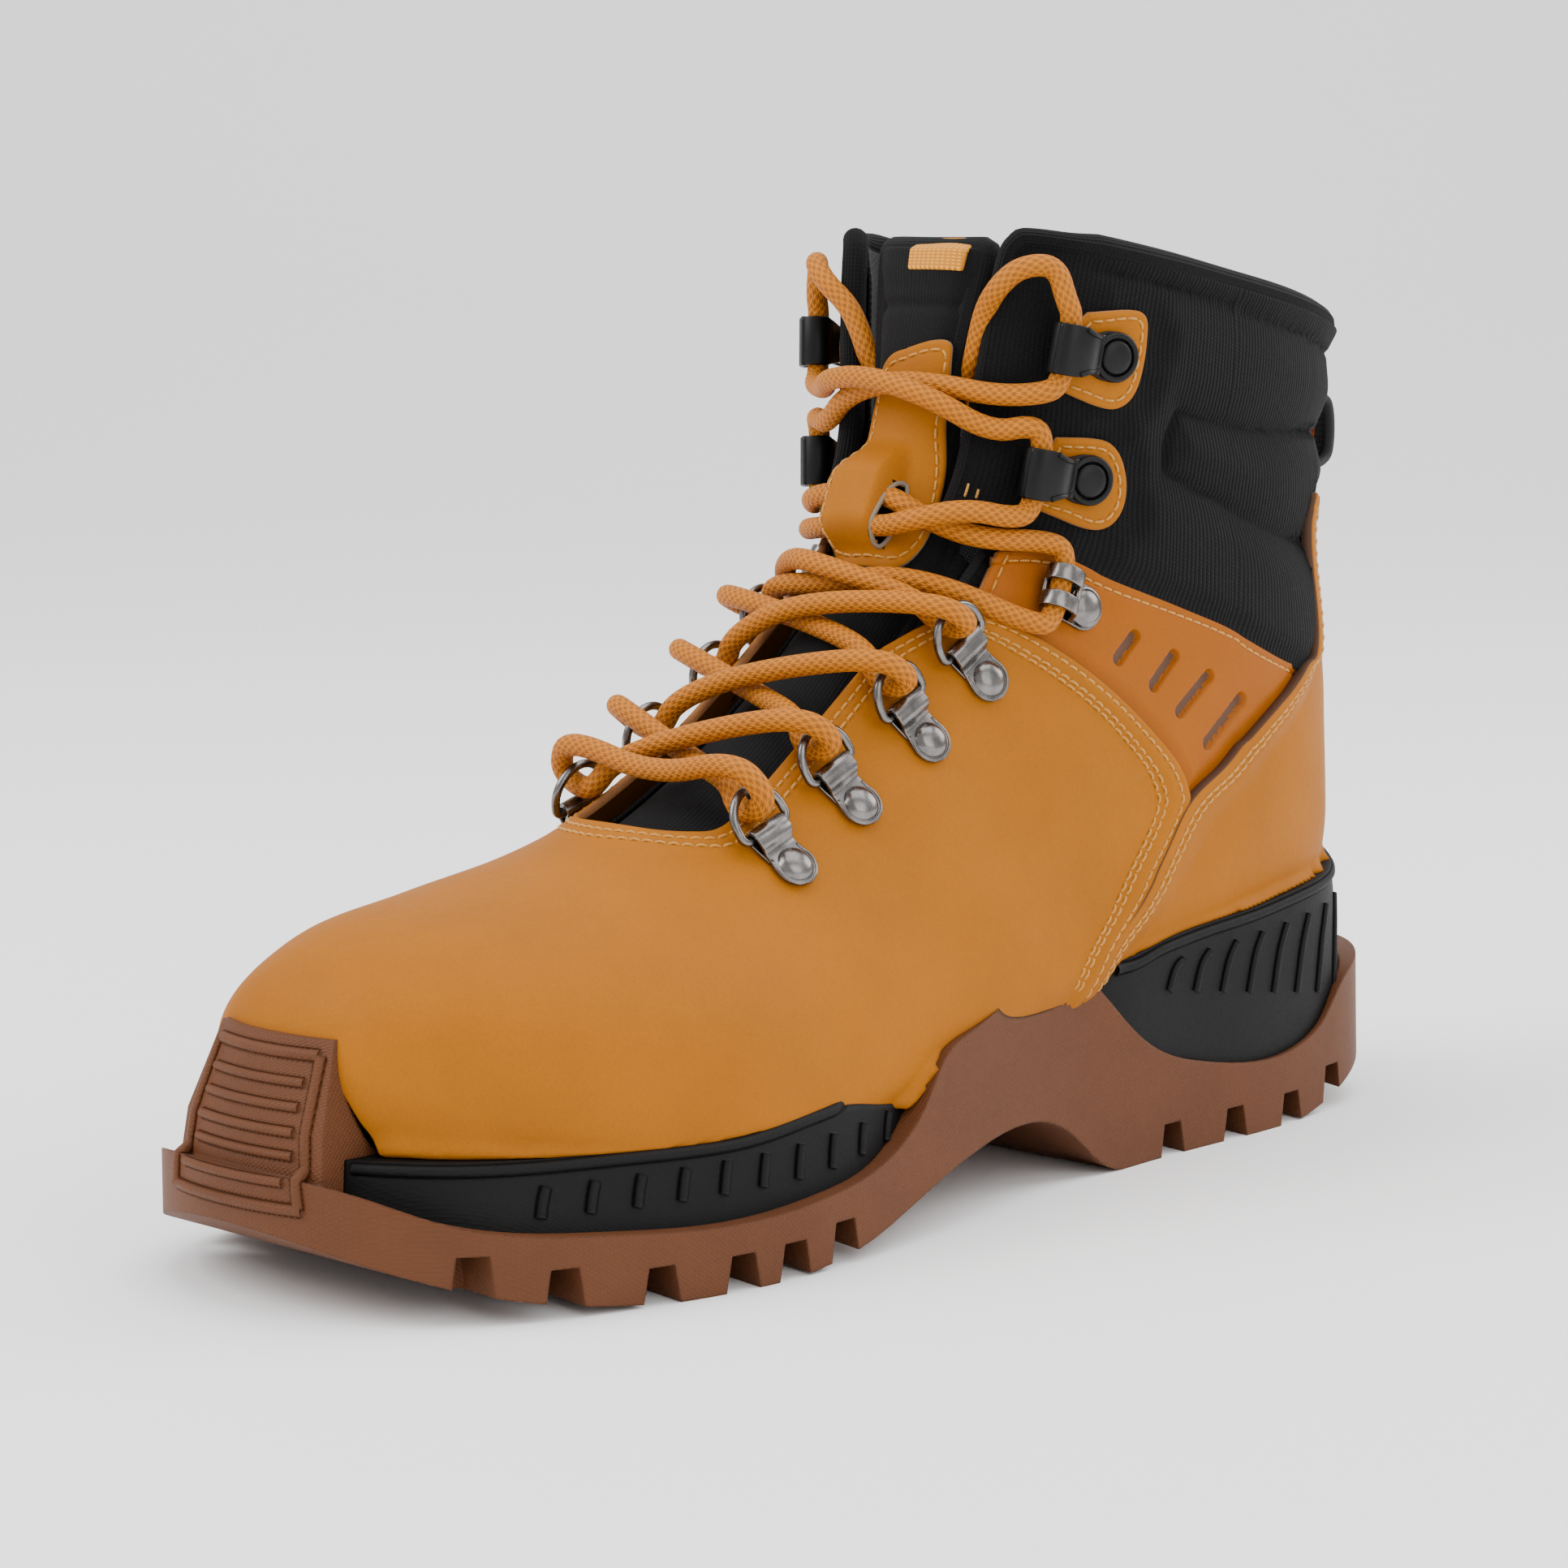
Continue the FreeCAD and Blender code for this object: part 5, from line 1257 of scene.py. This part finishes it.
sv = tongue_grid(.372, .978, .200, .114)
ts, tv = sv[..., 0], sv[..., 1]
flat, N = surf(ts, tv), normal(ts, tv)
side_gap = np.minimum(edge_run(flat, "left"), edge_run(flat, "right"))
bolster = np.exp(-((ts - .915) / .007) ** 2) + 0.5 * np.exp(-((ts - .60) / .004) ** 2)
h = (-TONGUE_OUT - 1.2 + 1.2 * ease(side_gap, 0, 8) + 0.7 * ease(ts, .93, .96)
     - 0.8 * bolster + waves(flat, 0.15))
P = flat + N * h[..., None]
tongue = sheet("tongue", P, [KNIT_FINE, KNIT_FINE], 1.3, 0.5, facing(P, N))
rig.padded(on(tongue, "knit_cloth", "tongue_outer", "tongue_padding"), fill=0.6)
up, down = np.linspace(.45, .966, 220), np.linspace(.966, .45, 220)
edge_s = np.r_[up, np.full(60, .978), down]
edge_v = np.r_[tongue_half(up, .197, .110), np.linspace(.104, -.104, 60),
               -tongue_half(down, .197, .110)]
tongue_path = resample(np.stack([edge_s, edge_v], 1), 520, base_point(edge_s, edge_v))
tongue_path[1:-1] = (tongue_path[:-2] + 2 * tongue_path[1:-1] + tongue_path[2:]) / 4
roll = edge_roll("tongue_edge", tongue_path, lambda s, v: np.full(s.shape, -TONGUE_OUT - .3),
                 lambda s, v: TONGUE_IN - 0.4 - 3.6 * (1 - ease(s, .60, .75)), KNIT_FINE, 0.01)
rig.padded(on(roll, "knit_cloth"), fill=0.6)
inner_sheet("tongue_lining", tongue_grid(.372, .972, .195, .108, 50, 150),
            lambda s, v: -TONGUE_IN + 0.4 + 3.6 * (1 - ease(s, .60, .75)), LINING,
            "lining_mesh", ["tongue_lining"])
for side in (LATERAL, MEDIAL):
    s, v = np.meshgrid(np.linspace(.44, .69, 110), np.linspace(.205, .30, 20), indexing="ij")
    P = surf(s, side * v, -5.9 - 0.5 * np.sin((v - .205) / .095 * np.pi))
    on(sheet("tongue_gusset_" + WORDS[side], P, KNIT_FINE, 0.7, 0.25,
             facing(P, normal(s, side * v))), "knit_cloth", "tongue_gusset_" + WORDS[side])

# ---- patches, tab and pull loop
PATCH_OUTLINE = [(.863, .010), (.873, .055), (.874, .090), (.855, .100), (.797, .116),
                 (.740, .138), (.690, .145), (.662, .134), (.645, .100), (.638, .02),
                 (.638, -.03), (.649, -.070), (.705, -.078), (.832, -.045)]


def lobe(outline, rings=26, spokes=240):
    """Disc-like grid that fills a closed outline: rings from its edge to its middle."""
    edge = resample(rounded(outline + outline[:1], 12), spokes + 1)[:-1]
    middle = edge.mean(0)
    t = np.linspace(0, 1, rings)[None, :, None]
    return edge[:, None] * (1 - t) + middle * t


def patch_piece(name, outline, depth, mats, slot, nodes, thick=1.3, inset=1.7, hole=None):
    sv = lobe(outline)
    flat, N = surf(sv[..., 0], sv[..., 1]), normal(sv[..., 0], sv[..., 1])
    h = depth(sv[..., 0], sv[..., 1])
    run = edge_run(flat, "bottom")
    h = h - 0.25 * np.exp(-((run - inset) / 0.55) ** 2) - 0.25 * (1 - ease(run, 0, .8))
    P = flat + N * h[..., None]
    ns, nr = P.shape[:2]
    flip = facing(P[:, :-2], N[:, :-2])
    faces = grid_faces(ns, nr, wrap_u=True)
    if hole is not None:
        c = sv.reshape(-1, 2)[faces].mean(1)
        faces = faces[~hole(c[:, 0], c[:, 1])]
    tangent = unit(np.roll(P[:, 0], -1, 0) - np.roll(P[:, 0], 1, 0))
    out = unit(P[:, 0] - P[:, 1])
    out = unit(out - tangent * (out * tangent).sum(1, keepdims=True))
    verts, uv = [P.reshape(-1, 3)], [grid_uv(P).reshape(-1, 2)]
    fm = [np.zeros(len(faces), int)]
    all_faces, prev, start = [faces], np.arange(ns) * nr, ns * nr
    for k, (o, dn) in enumerate(((.22, .12), (.32, .4), (.32, thick), (-.8, thick + .1))):
        verts.append(P[:, 0] + out * o - N[:, 0] * dn)
        uv.append(uv[0][prev] if k == 0 else uv[-1])
        now = start + np.arange(ns)
        wall = np.stack([prev, np.roll(prev, -1), np.roll(now, -1), now], 1)
        all_faces.append(wall[:, ::-1])
        fm.append(np.full(ns, 1 if k > 0 else 0))
        prev, start = now, start + ns
    F = np.concatenate(all_faces)
    if flip < 0:
        F = F[:, ::-1]
    ob = build(name, np.concatenate(verts), F, mats, np.concatenate(fm),
               np.concatenate(uv) / 10)
    on(ob, slot, *nodes)
    line, nrm = row_line(P, N, "bottom", inset)
    return (np.r_[line, line[:1]], np.r_[nrm, nrm[:1]])


for side in (LATERAL, MEDIAL):
    for level, outline in HOOK_PATCHES.items():
        word = "%s_%s" % (WORDS[side], level)
        thread_rows.append(patch_piece(
            "hook_patch_" + word, other(outline, side),
            lambda s, v: np.full(s.shape, 2.0), [NUBUCK, EDGE_TAN], "nubuck",
            ["hook_patch_" + word]))


def arch(s, v):
    """Height of the tongue patch, which stands up where the lace goes under it."""
    lift = ease(s, .642, .668) * (1 - ease(s, .708, .760)) * (1 - ease(v, .030, .072))
    return -TONGUE_OUT + 1.75 + 6.1 * lift


def in_slit(s, v):
    return (s > .655) & (s < .708) & (np.abs(v - .060 - (s - .68) * .2) < .0135)


thread_rows.append(patch_piece("tongue_patch", PATCH_OUTLINE, arch, [NUBUCK, EDGE_GREY],
                               "nubuck", ["tongue_patch"], 1.2, 2.0, in_slit))
t = np.linspace(0, 2 * np.pi, 90, endpoint=False)
ring_s = .6815 + .028 * np.sign(np.cos(t)) * np.abs(np.cos(t)) ** 0.8
ring_v = .060 + (ring_s - .68) * .2 + .0150 * np.sign(np.sin(t)) * np.abs(np.sin(t)) ** 0.8
ring_v, ring_s = np.r_[ring_v, ring_v[:2]], np.r_[ring_s, ring_s[:2]]
verts, faces = tube_mesh([surf(ring_s, ring_v, arch(ring_s, ring_v) - 0.1)], 0.55, 8)
on(build("tongue_slit_edge", verts, faces, EDGE_GREY), "nubuck")

s, v = np.meshgrid(np.linspace(.957, .992, 26), np.linspace(-.008, .078, 30), indexing="ij")
P = surf(s, v, -TONGUE_OUT + 1.2 - 3.2 * ease(s, .976, .992)
         + 0.4 * np.sin((v + .008) / .086 * np.pi))
on(sheet("tongue_tab", P, [ORANGE_TAPE, ORANGE_TAPE], 1.3, 0.5, facing(P, normal(s, v))),
   "orange_webbing", "tongue_tab")

t = np.linspace(0, 1, 30)
for side in (LATERAL, MEDIAL):
    for v0 in (.178, .193):
        rs, rv = .706 + .040 * t, side * (v0 - .004 * t)
        thread_rows.append((surf(rs, rv, 0.35), normal(rs, rv)))

LOOP_W, LOOP_T = 18.0, 1.5
loop_low, loop_high = surf(.945, 1.0, .2), surf(.968, 1.0, .2)
y0, z0, z1 = max(loop_low[1], loop_high[1]), loop_low[2], loop_high[2]
loop_pts = [(surf(.936, 1.0)[1] + 1.0, z0 - 7), (surf(.942, 1.0)[1] + 1.2, z0 - 3),
            (y0 + 4.5, z0 - .5), (y0 + 11.6, z0 + 3.6), (y0 + 11.0, z1 + 1.0),
            (surf(.972, 1.0)[1] + 1.0, z1 + 3.5)]
line = resample(rounded(loop_pts, 20), 70)
across = np.linspace(-LOOP_W / 2, LOOP_W / 2, 25)
P = np.stack([np.broadcast_to(across[:, None] + 2.0, (25, 70)),
              np.broadcast_to(line[None, :, 0] + LOOP_T / 2, (25, 70)),
              np.broadcast_to(line[None, :, 1], (25, 70))], -1)
on(sheet("heel_pull_loop", P, [PULL_TAPE, PULL_TAPE], LOOP_T, 0.35,
         facing(P, np.array([0, 1, 0]))), "webbing", "heel_pull_loop")

# ---- sole unit
OUTSIDE_X, OUTSIDE_Y = 110, -220        # ray starts, well clear of the sole
TOE_X = -3                              # middle of the bumper's ribbed field


def rib(node, rays, sink, radius):
    """Rib along the line where rays meet a sole piece: one (points, radius), or none."""
    pts = []
    for start, way in rays:
        place, face_normal = SOLE[node][2].ray_cast(Vector(start), Vector(way))[:2]
        if place is not None:
            pts.append(np.array(place) - np.array(face_normal) * sink)
    return [(np.array(pts), radius)] if len(pts) > 3 else []


def side_rays(path, side, count):
    """Rays from one side through evenly spaced points of a (y, z) path."""
    return [((side * OUTSIDE_X, y, z), (-side, 0, 0))
            for y, z in resample(rounded(path, 8), count)]


def front_rays(points):
    return [((x, OUTSIDE_Y, z), (0, 1, 0)) for x, z in points]


def level_rays(half_width, z):
    return front_rays([(x, z) for x in np.linspace(TOE_X - half_width, TOE_X + half_width, 30)])


def moulded(name, node, ribs, mat, slot):
    """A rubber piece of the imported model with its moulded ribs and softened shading."""
    co, polys, _ = SOLE[node]
    tubes = [tube_mesh([path], radius, 12) for path, radius in ribs]
    ob = reworked(build(name, *merged([(co, polys)] + tubes), mat),
                  lambda m: bmesh.ops.remove_doubles(m, verts=m.verts, dist=2e-6))
    ob.data.set_sharp_from_angle(angle=math.radians(32))
    return on(ob, slot, node)


ribs = []
for k, z in enumerate((25.5, 29.8, 34.1, 38.4, 42.7)):
    ribs += rib("outsole", level_rays(14.0 - 0.35 * k, z), 0.1, 0.95)
for z, half_width in ((47.6, 14.0), (20.6, 18.0)):
    ribs += rib("outsole", level_rays(half_width, z), 0.3, 1.2)
for side in (LATERAL, MEDIAL):
    edge = [(TOE_X + side * (17.4 - (z - 20) * 0.11), z) for z in np.linspace(20.6, 47.6, 16)]
    ribs += rib("outsole", front_rays(edge), 0.3, 1.2)
moulded("outsole_looks", "outsole", ribs, BROWN_RUBBER, "sole_rubber")

ribs = []
for y in np.linspace(-121, -36, 10):
    top = 27.2 + 0.05 * max(0, y + 70)
    low = 15.4 + 0.0045 * max(0, -y - 80) ** 1.25 + 0.1 * max(0, y + 60)
    path = [(y - .8, low + 2.4), (y, (low + top) / 2), (y + .8, top - 3.4)]
    for side in (LATERAL, MEDIAL):
        ribs += rib("midsole", side_rays(path, side, 10), 0.25, 1.15)
BAND_LINE = [(-146, 27.6), (-110, 27.2), (-80, 26.6), (-60, 28.4), (-43, 30.4), (-29, 32.8),
             (-13, 35.8)]
for side in (LATERAL, MEDIAL):
    ribs += rib("midsole", side_rays(BAND_LINE, side, 60), 0.35, 1.2)
moulded("midsole_looks", "midsole", ribs, BLACK_RUBBER, "black_rubber")

ribs = []
for k in range(8):
    y, tall = 64 + 9.4 * k, 9 + 2.2 * k
    top = 44 + 0.09 * (y - 60)
    path = [(y - 2.2, top - tall), (y, top - tall / 2), (y + 2.8, top - 3.0)]
    for side in (LATERAL, MEDIAL):
        ribs += rib("heel_cup", side_rays(path, side, 12), 0.25, 1.1)
CUP_LINE = [(6, 41.5), (22, 43.6), (47, 42.4), (60, 44.8), (76, 46.7), (93, 48.2),
            (110, 50.2), (131, 52.4), (143, 55)]
for side in (LATERAL, MEDIAL):
    ribs += rib("heel_cup", side_rays(CUP_LINE, side, 70), 0.35, 1.2)
moulded("heel_cup_looks", "heel_cup", ribs, BLACK_RUBBER, "black_rubber")

# ---- metal fittings
RINGS = [(.436, .301, .38), (.504, .307, .48), (.569, .323, .52), (.629, .327, .62)]
STEEL_HOOK = (.725, .353, 2.1)
BLACK_HOOKS = {"lower": (.821, .313, 6.0), "upper": (.920, .337, 6.0)}
PATCH_TOP = 2.05


class Place:
    """Local frame on the boot: x toward the throat, y along the bar, z outward."""

    def __init__(self, s, v, slope, d):
        side = 1 if v > 0 else -1
        self.n = normal(s, v)
        b = np.array([0, 1, slope])
        b = unit(b - self.n * (b @ self.n))
        self.u = np.cross(self.n, b) * side
        self.b = np.cross(self.n, self.u)
        self.o = surf(s, v, d)

    def at(self, p):
        p = np.asarray(p)
        return self.o + p[..., :1] * self.u + p[..., 1:2] * self.b + p[..., 2:] * self.n


def strip(points, thick=0.9, y_mid=0.0, steps=4):
    """Bent sheet metal: a rounded flat section swept through (x, z, half width) points."""
    fine = rounded(points, steps)
    line, w = fine[:, :2], np.maximum(fine[:, 2], 0.05)
    t = unit(np.gradient(line, axis=0))
    nrm = np.stack([-t[:, 1], t[:, 0]], 1)
    r, h = thick * 0.32, thick / 2
    corner = [(r * (1 - math.cos(a)), r * (1 - math.sin(a)))
              for a in np.radians([0, 30, 60, 90])]
    quarters = ((1, 1, 1), (-1, 1, -1), (-1, -1, 1), (1, -1, -1))
    section = [(sy, sz, a, b) for sy, sz, way in quarters for a, b in corner[::way]]
    rings = []
    for sy, sz, a, b in section:
        y = y_mid + sy * np.maximum(w - a, 0.01)
        off = sz * (h - b)
        rings.append(np.column_stack([line[:, 0] + nrm[:, 0] * off, y,
                                      line[:, 1] + nrm[:, 1] * off]))
    P = np.stack(rings, 1)
    n, k = P.shape[:2]
    faces = grid_faces(n, k, wrap_v=True).tolist()
    return P.reshape(-1, 3), faces + [list(range(k))[::-1], [(n - 1) * k + i for i in range(k)]]


def turned(profile, segments=40):
    """Body of revolution about z from (radius, height) points, rounded between them."""
    fine = rounded(profile, 5)
    ang = np.linspace(0, 2 * np.pi, segments, endpoint=False)
    r, z = np.maximum(fine[:, 0], 0.01), fine[:, 1]
    P = np.stack([r[:, None] * np.cos(ang), r[:, None] * np.sin(ang),
                  np.broadcast_to(z[:, None], (len(z), segments))], -1)
    faces = grid_faces(len(z), segments, wrap_v=True)[:, ::-1].tolist()
    return P.reshape(-1, 3), faces + [[(len(z) - 1) * segments + i for i in range(segments)]]


def fitting(name, place, parts, mat, slot, *nodes):
    """Metal parts made in a place's own frame, as one object on the boot."""
    ob = build(name, *merged([(place.at(v), f) for v, f in parts]), mat)
    reworked(ob, lambda m: bmesh.ops.recalc_face_normals(m, faces=m.faces))
    return on(ob, slot, *nodes)


def arc_xz(x, z, r, a0, a1, n=9):
    return [(x + r * math.cos(math.radians(a)), z + r * math.sin(math.radians(a)))
            for a in np.linspace(a0, a1, n)]


def eye_end(radius, x_from, x_to, n=9):
    """Half widths of a strip's round end as x goes from its tip to the middle."""
    return [(x, math.sqrt(max(radius**2 - x**2, 0.0))) for x in np.linspace(x_from, x_to, n)]


BAR_U, TUBE_Z, TUBE_MID = 8.6, 2.05, 1.42


def clip_parts():
    tip = eye_end(4.75, -4.72, 0.0)
    top = [(x, 1.12, w) for x, w in tip]
    top += [(1.6, 1.12, 4.55), (3.2, 1.14, 4.2), (4.6, 1.3, 4.05), (5.5, 1.95, 4.15),
            (6.2, 2.75, 4.5), (7.0, 3.25, 4.65)]
    top += [(x, z, 4.65) for x, z in arc_xz(BAR_U, TUBE_Z, TUBE_MID, 115, -90, 12)]
    top += [(6.0, 0.55, 4.4), (3.0, 0.5, 4.1)]
    rim = [(4.35 * math.cos(a), 4.35 * math.sin(a), 1.42)
           for a in np.linspace(math.radians(62), math.radians(298), 40)]
    rim = [(3.4, 3.75, 1.40)] + rim + [(3.4, -3.75, 1.40)]
    return [strip(top, 0.8), tube_mesh([rim], 0.3, 8)]


RIVET_HEAD = [(4.0, 1.2), (4.15, 1.5), (3.95, 1.75), (3.5, 1.95), (2.9, 2.5), (1.9, 3.0),
              (0.9, 3.22), (0.02, 3.28)]
RIVET_HEAD_SMALL = [(3.9, 1.2), (3.75, 1.6), (3.2, 2.25), (2.4, 2.8), (1.2, 3.15),
                    (0.02, 3.25)]
BLACK_HEAD = [(3.7, 1.6), (3.55, 2.1), (3.0, 2.55), (1.8, 2.85), (0.02, 2.95)]


def steel_hook_parts():
    plate = [(x, 0.65, w) for x, w in eye_end(4.9, -4.87, 0.0)]
    plate += [(2.5, 0.65, 4.75), (5.5, 0.65, 4.7), (8.2, 0.72, 4.7)]
    parts = [strip(plate)]
    bow = [(7.4, 0.65), (9.0, 0.65)] + arc_xz(9.0, 3.85, 3.2, -70, 95, 12)
    bow += [(6.8, 6.7), (5.3, 5.8), (4.4, 4.2), (3.7, 2.7), (2.6, 1.7)]
    for y in (-3.0, 3.0):
        parts.append(strip([(x, z, 1.75) for x, z in bow], y_mid=y))
    parts.append(strip([(6.2, 6.4, 4.5), (5.3, 5.8, 4.7), (4.4, 4.2, 4.7), (3.7, 2.7, 4.5),
                        (2.4, 1.65, 4.2), (0.5, 1.5, 3.9)], steps=5))
    parts.append(strip([(x, z, 4.6) for x, z in arc_xz(9.0, 3.85, 3.2, -50, -20, 5)]))
    return parts


def black_hook_parts():
    plate = [(x, 0.75, w) for x, w in eye_end(5.3, -5.27, 0.0)]
    plate += [(2.5, 0.75, 5.1), (5.0, 0.75, 4.3), (8.0, 0.75, 4.0), (11.0, 0.7, 4.6),
              (13.0, 0.65, 4.9)]
    parts = [strip(plate, 1.1)]
    bow = [(13.0, 0.65, 4.9)] + [(x, z, 5.3) for x, z in arc_xz(13.0, 3.85, 3.2, -70, 90, 12)]
    bow += [(11.0, 7.0, 5.1), (9.0, 6.6, 4.2), (7.2, 5.4, 3.6), (6.0, 3.9, 3.7),
            (5.0, 2.5, 4.1), (3.8, 1.8, 4.3)]
    parts.append(strip(bow, 1.1))
    a = np.linspace(0, 2 * np.pi, 61)
    ring = np.column_stack([4.55 * np.cos(a), 4.55 * np.sin(a), np.full(61, 1.75)])
    parts.append(tube_mesh([ring], 0.72, 10, caps=False))
    for y in (-1, 1):
        fork = [(4.0, y * 2.3, 2.0), (5.4, y * 3.2, 3.2), (7.0, y * 3.5, 5.6),
                (9.0, y * 3.9, 7.1), (11.2, y * 4.7, 7.6)]
        parts.append(tube_mesh([rounded(fork, 6)], 0.55, 8))
    edge = [(15.9, y, 5.4) for y in np.linspace(-5.3, 5.3, 12)]
    parts.append(tube_mesh([edge], 0.75, 8))
    return parts


steel_rivets, black_rivets = [], []
for side in (LATERAL, MEDIAL):
    word = WORDS[side]
    for i, (s, v, slope) in enumerate(RINGS):
        at = Place(s, side * v, slope, 0.15)
        name = "d_ring_clip_%s_%d" % (word, i + 1)
        fitting(name + "_looks", at, clip_parts(), GUNMETAL, "gunmetal", name)
        steel_rivets.append((at, turned(RIVET_HEAD_SMALL)))
    s, v, slope = STEEL_HOOK
    at = Place(s, side * v, slope, 0.2)
    fitting("steel_hook_%s_looks" % word, at, steel_hook_parts(), GUNMETAL, "gunmetal",
            "steel_hook_" + word)
    steel_rivets.append((at, turned([(r * 1.06, z + 0.45) for r, z in RIVET_HEAD])))
    for level, (s, v, slope) in BLACK_HOOKS.items():
        at = Place(s, side * v, slope, PATCH_TOP)
        name = "black_hook_%s_%s" % (word, level)
        fitting(name + "_looks", at, black_hook_parts(), BLACK_METAL, "black_metal", name)
        black_rivets.append((at, turned(BLACK_HEAD)))
for name, group, mat, slot, node in (
        ("rivets_steel", steel_rivets, GUNMETAL, "gunmetal", "d_ring_rivets"),
        ("rivets_black", black_rivets, BLACK_METAL, "black_metal", "hook_rivets")):
    on(build(name, *merged([(at.at(v), f) for at, (v, f) in group]), mat), slot, node)

# ---- rings and hidden pieces keep their CAD shape
paint = {"steel_toe_cap": CAP_STEEL, "heel_counter": BOARD, "insole_board": BOARD,
         "footbed": FOAM}
for side in WORDS.values():
    for i in "1234":
        paint["d_ring_%s_%s" % (side, i)] = GUNMETAL
for node, mat in paint.items():
    ob = bpy.data.objects[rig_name(node)]
    for k in range(max(1, len(ob.material_slots))):
        if ob.material_slots:
            ob.material_slots[k].material = mat
        else:
            ob.data.materials.append(mat)

stitches("thread", thread_rows)

with open("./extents.json", "w") as f:
    json.dump({"cad": [list(map(float, b)) for b in cad_bounds],
               "visual": [list(map(float, b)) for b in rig.bounds()]}, f)
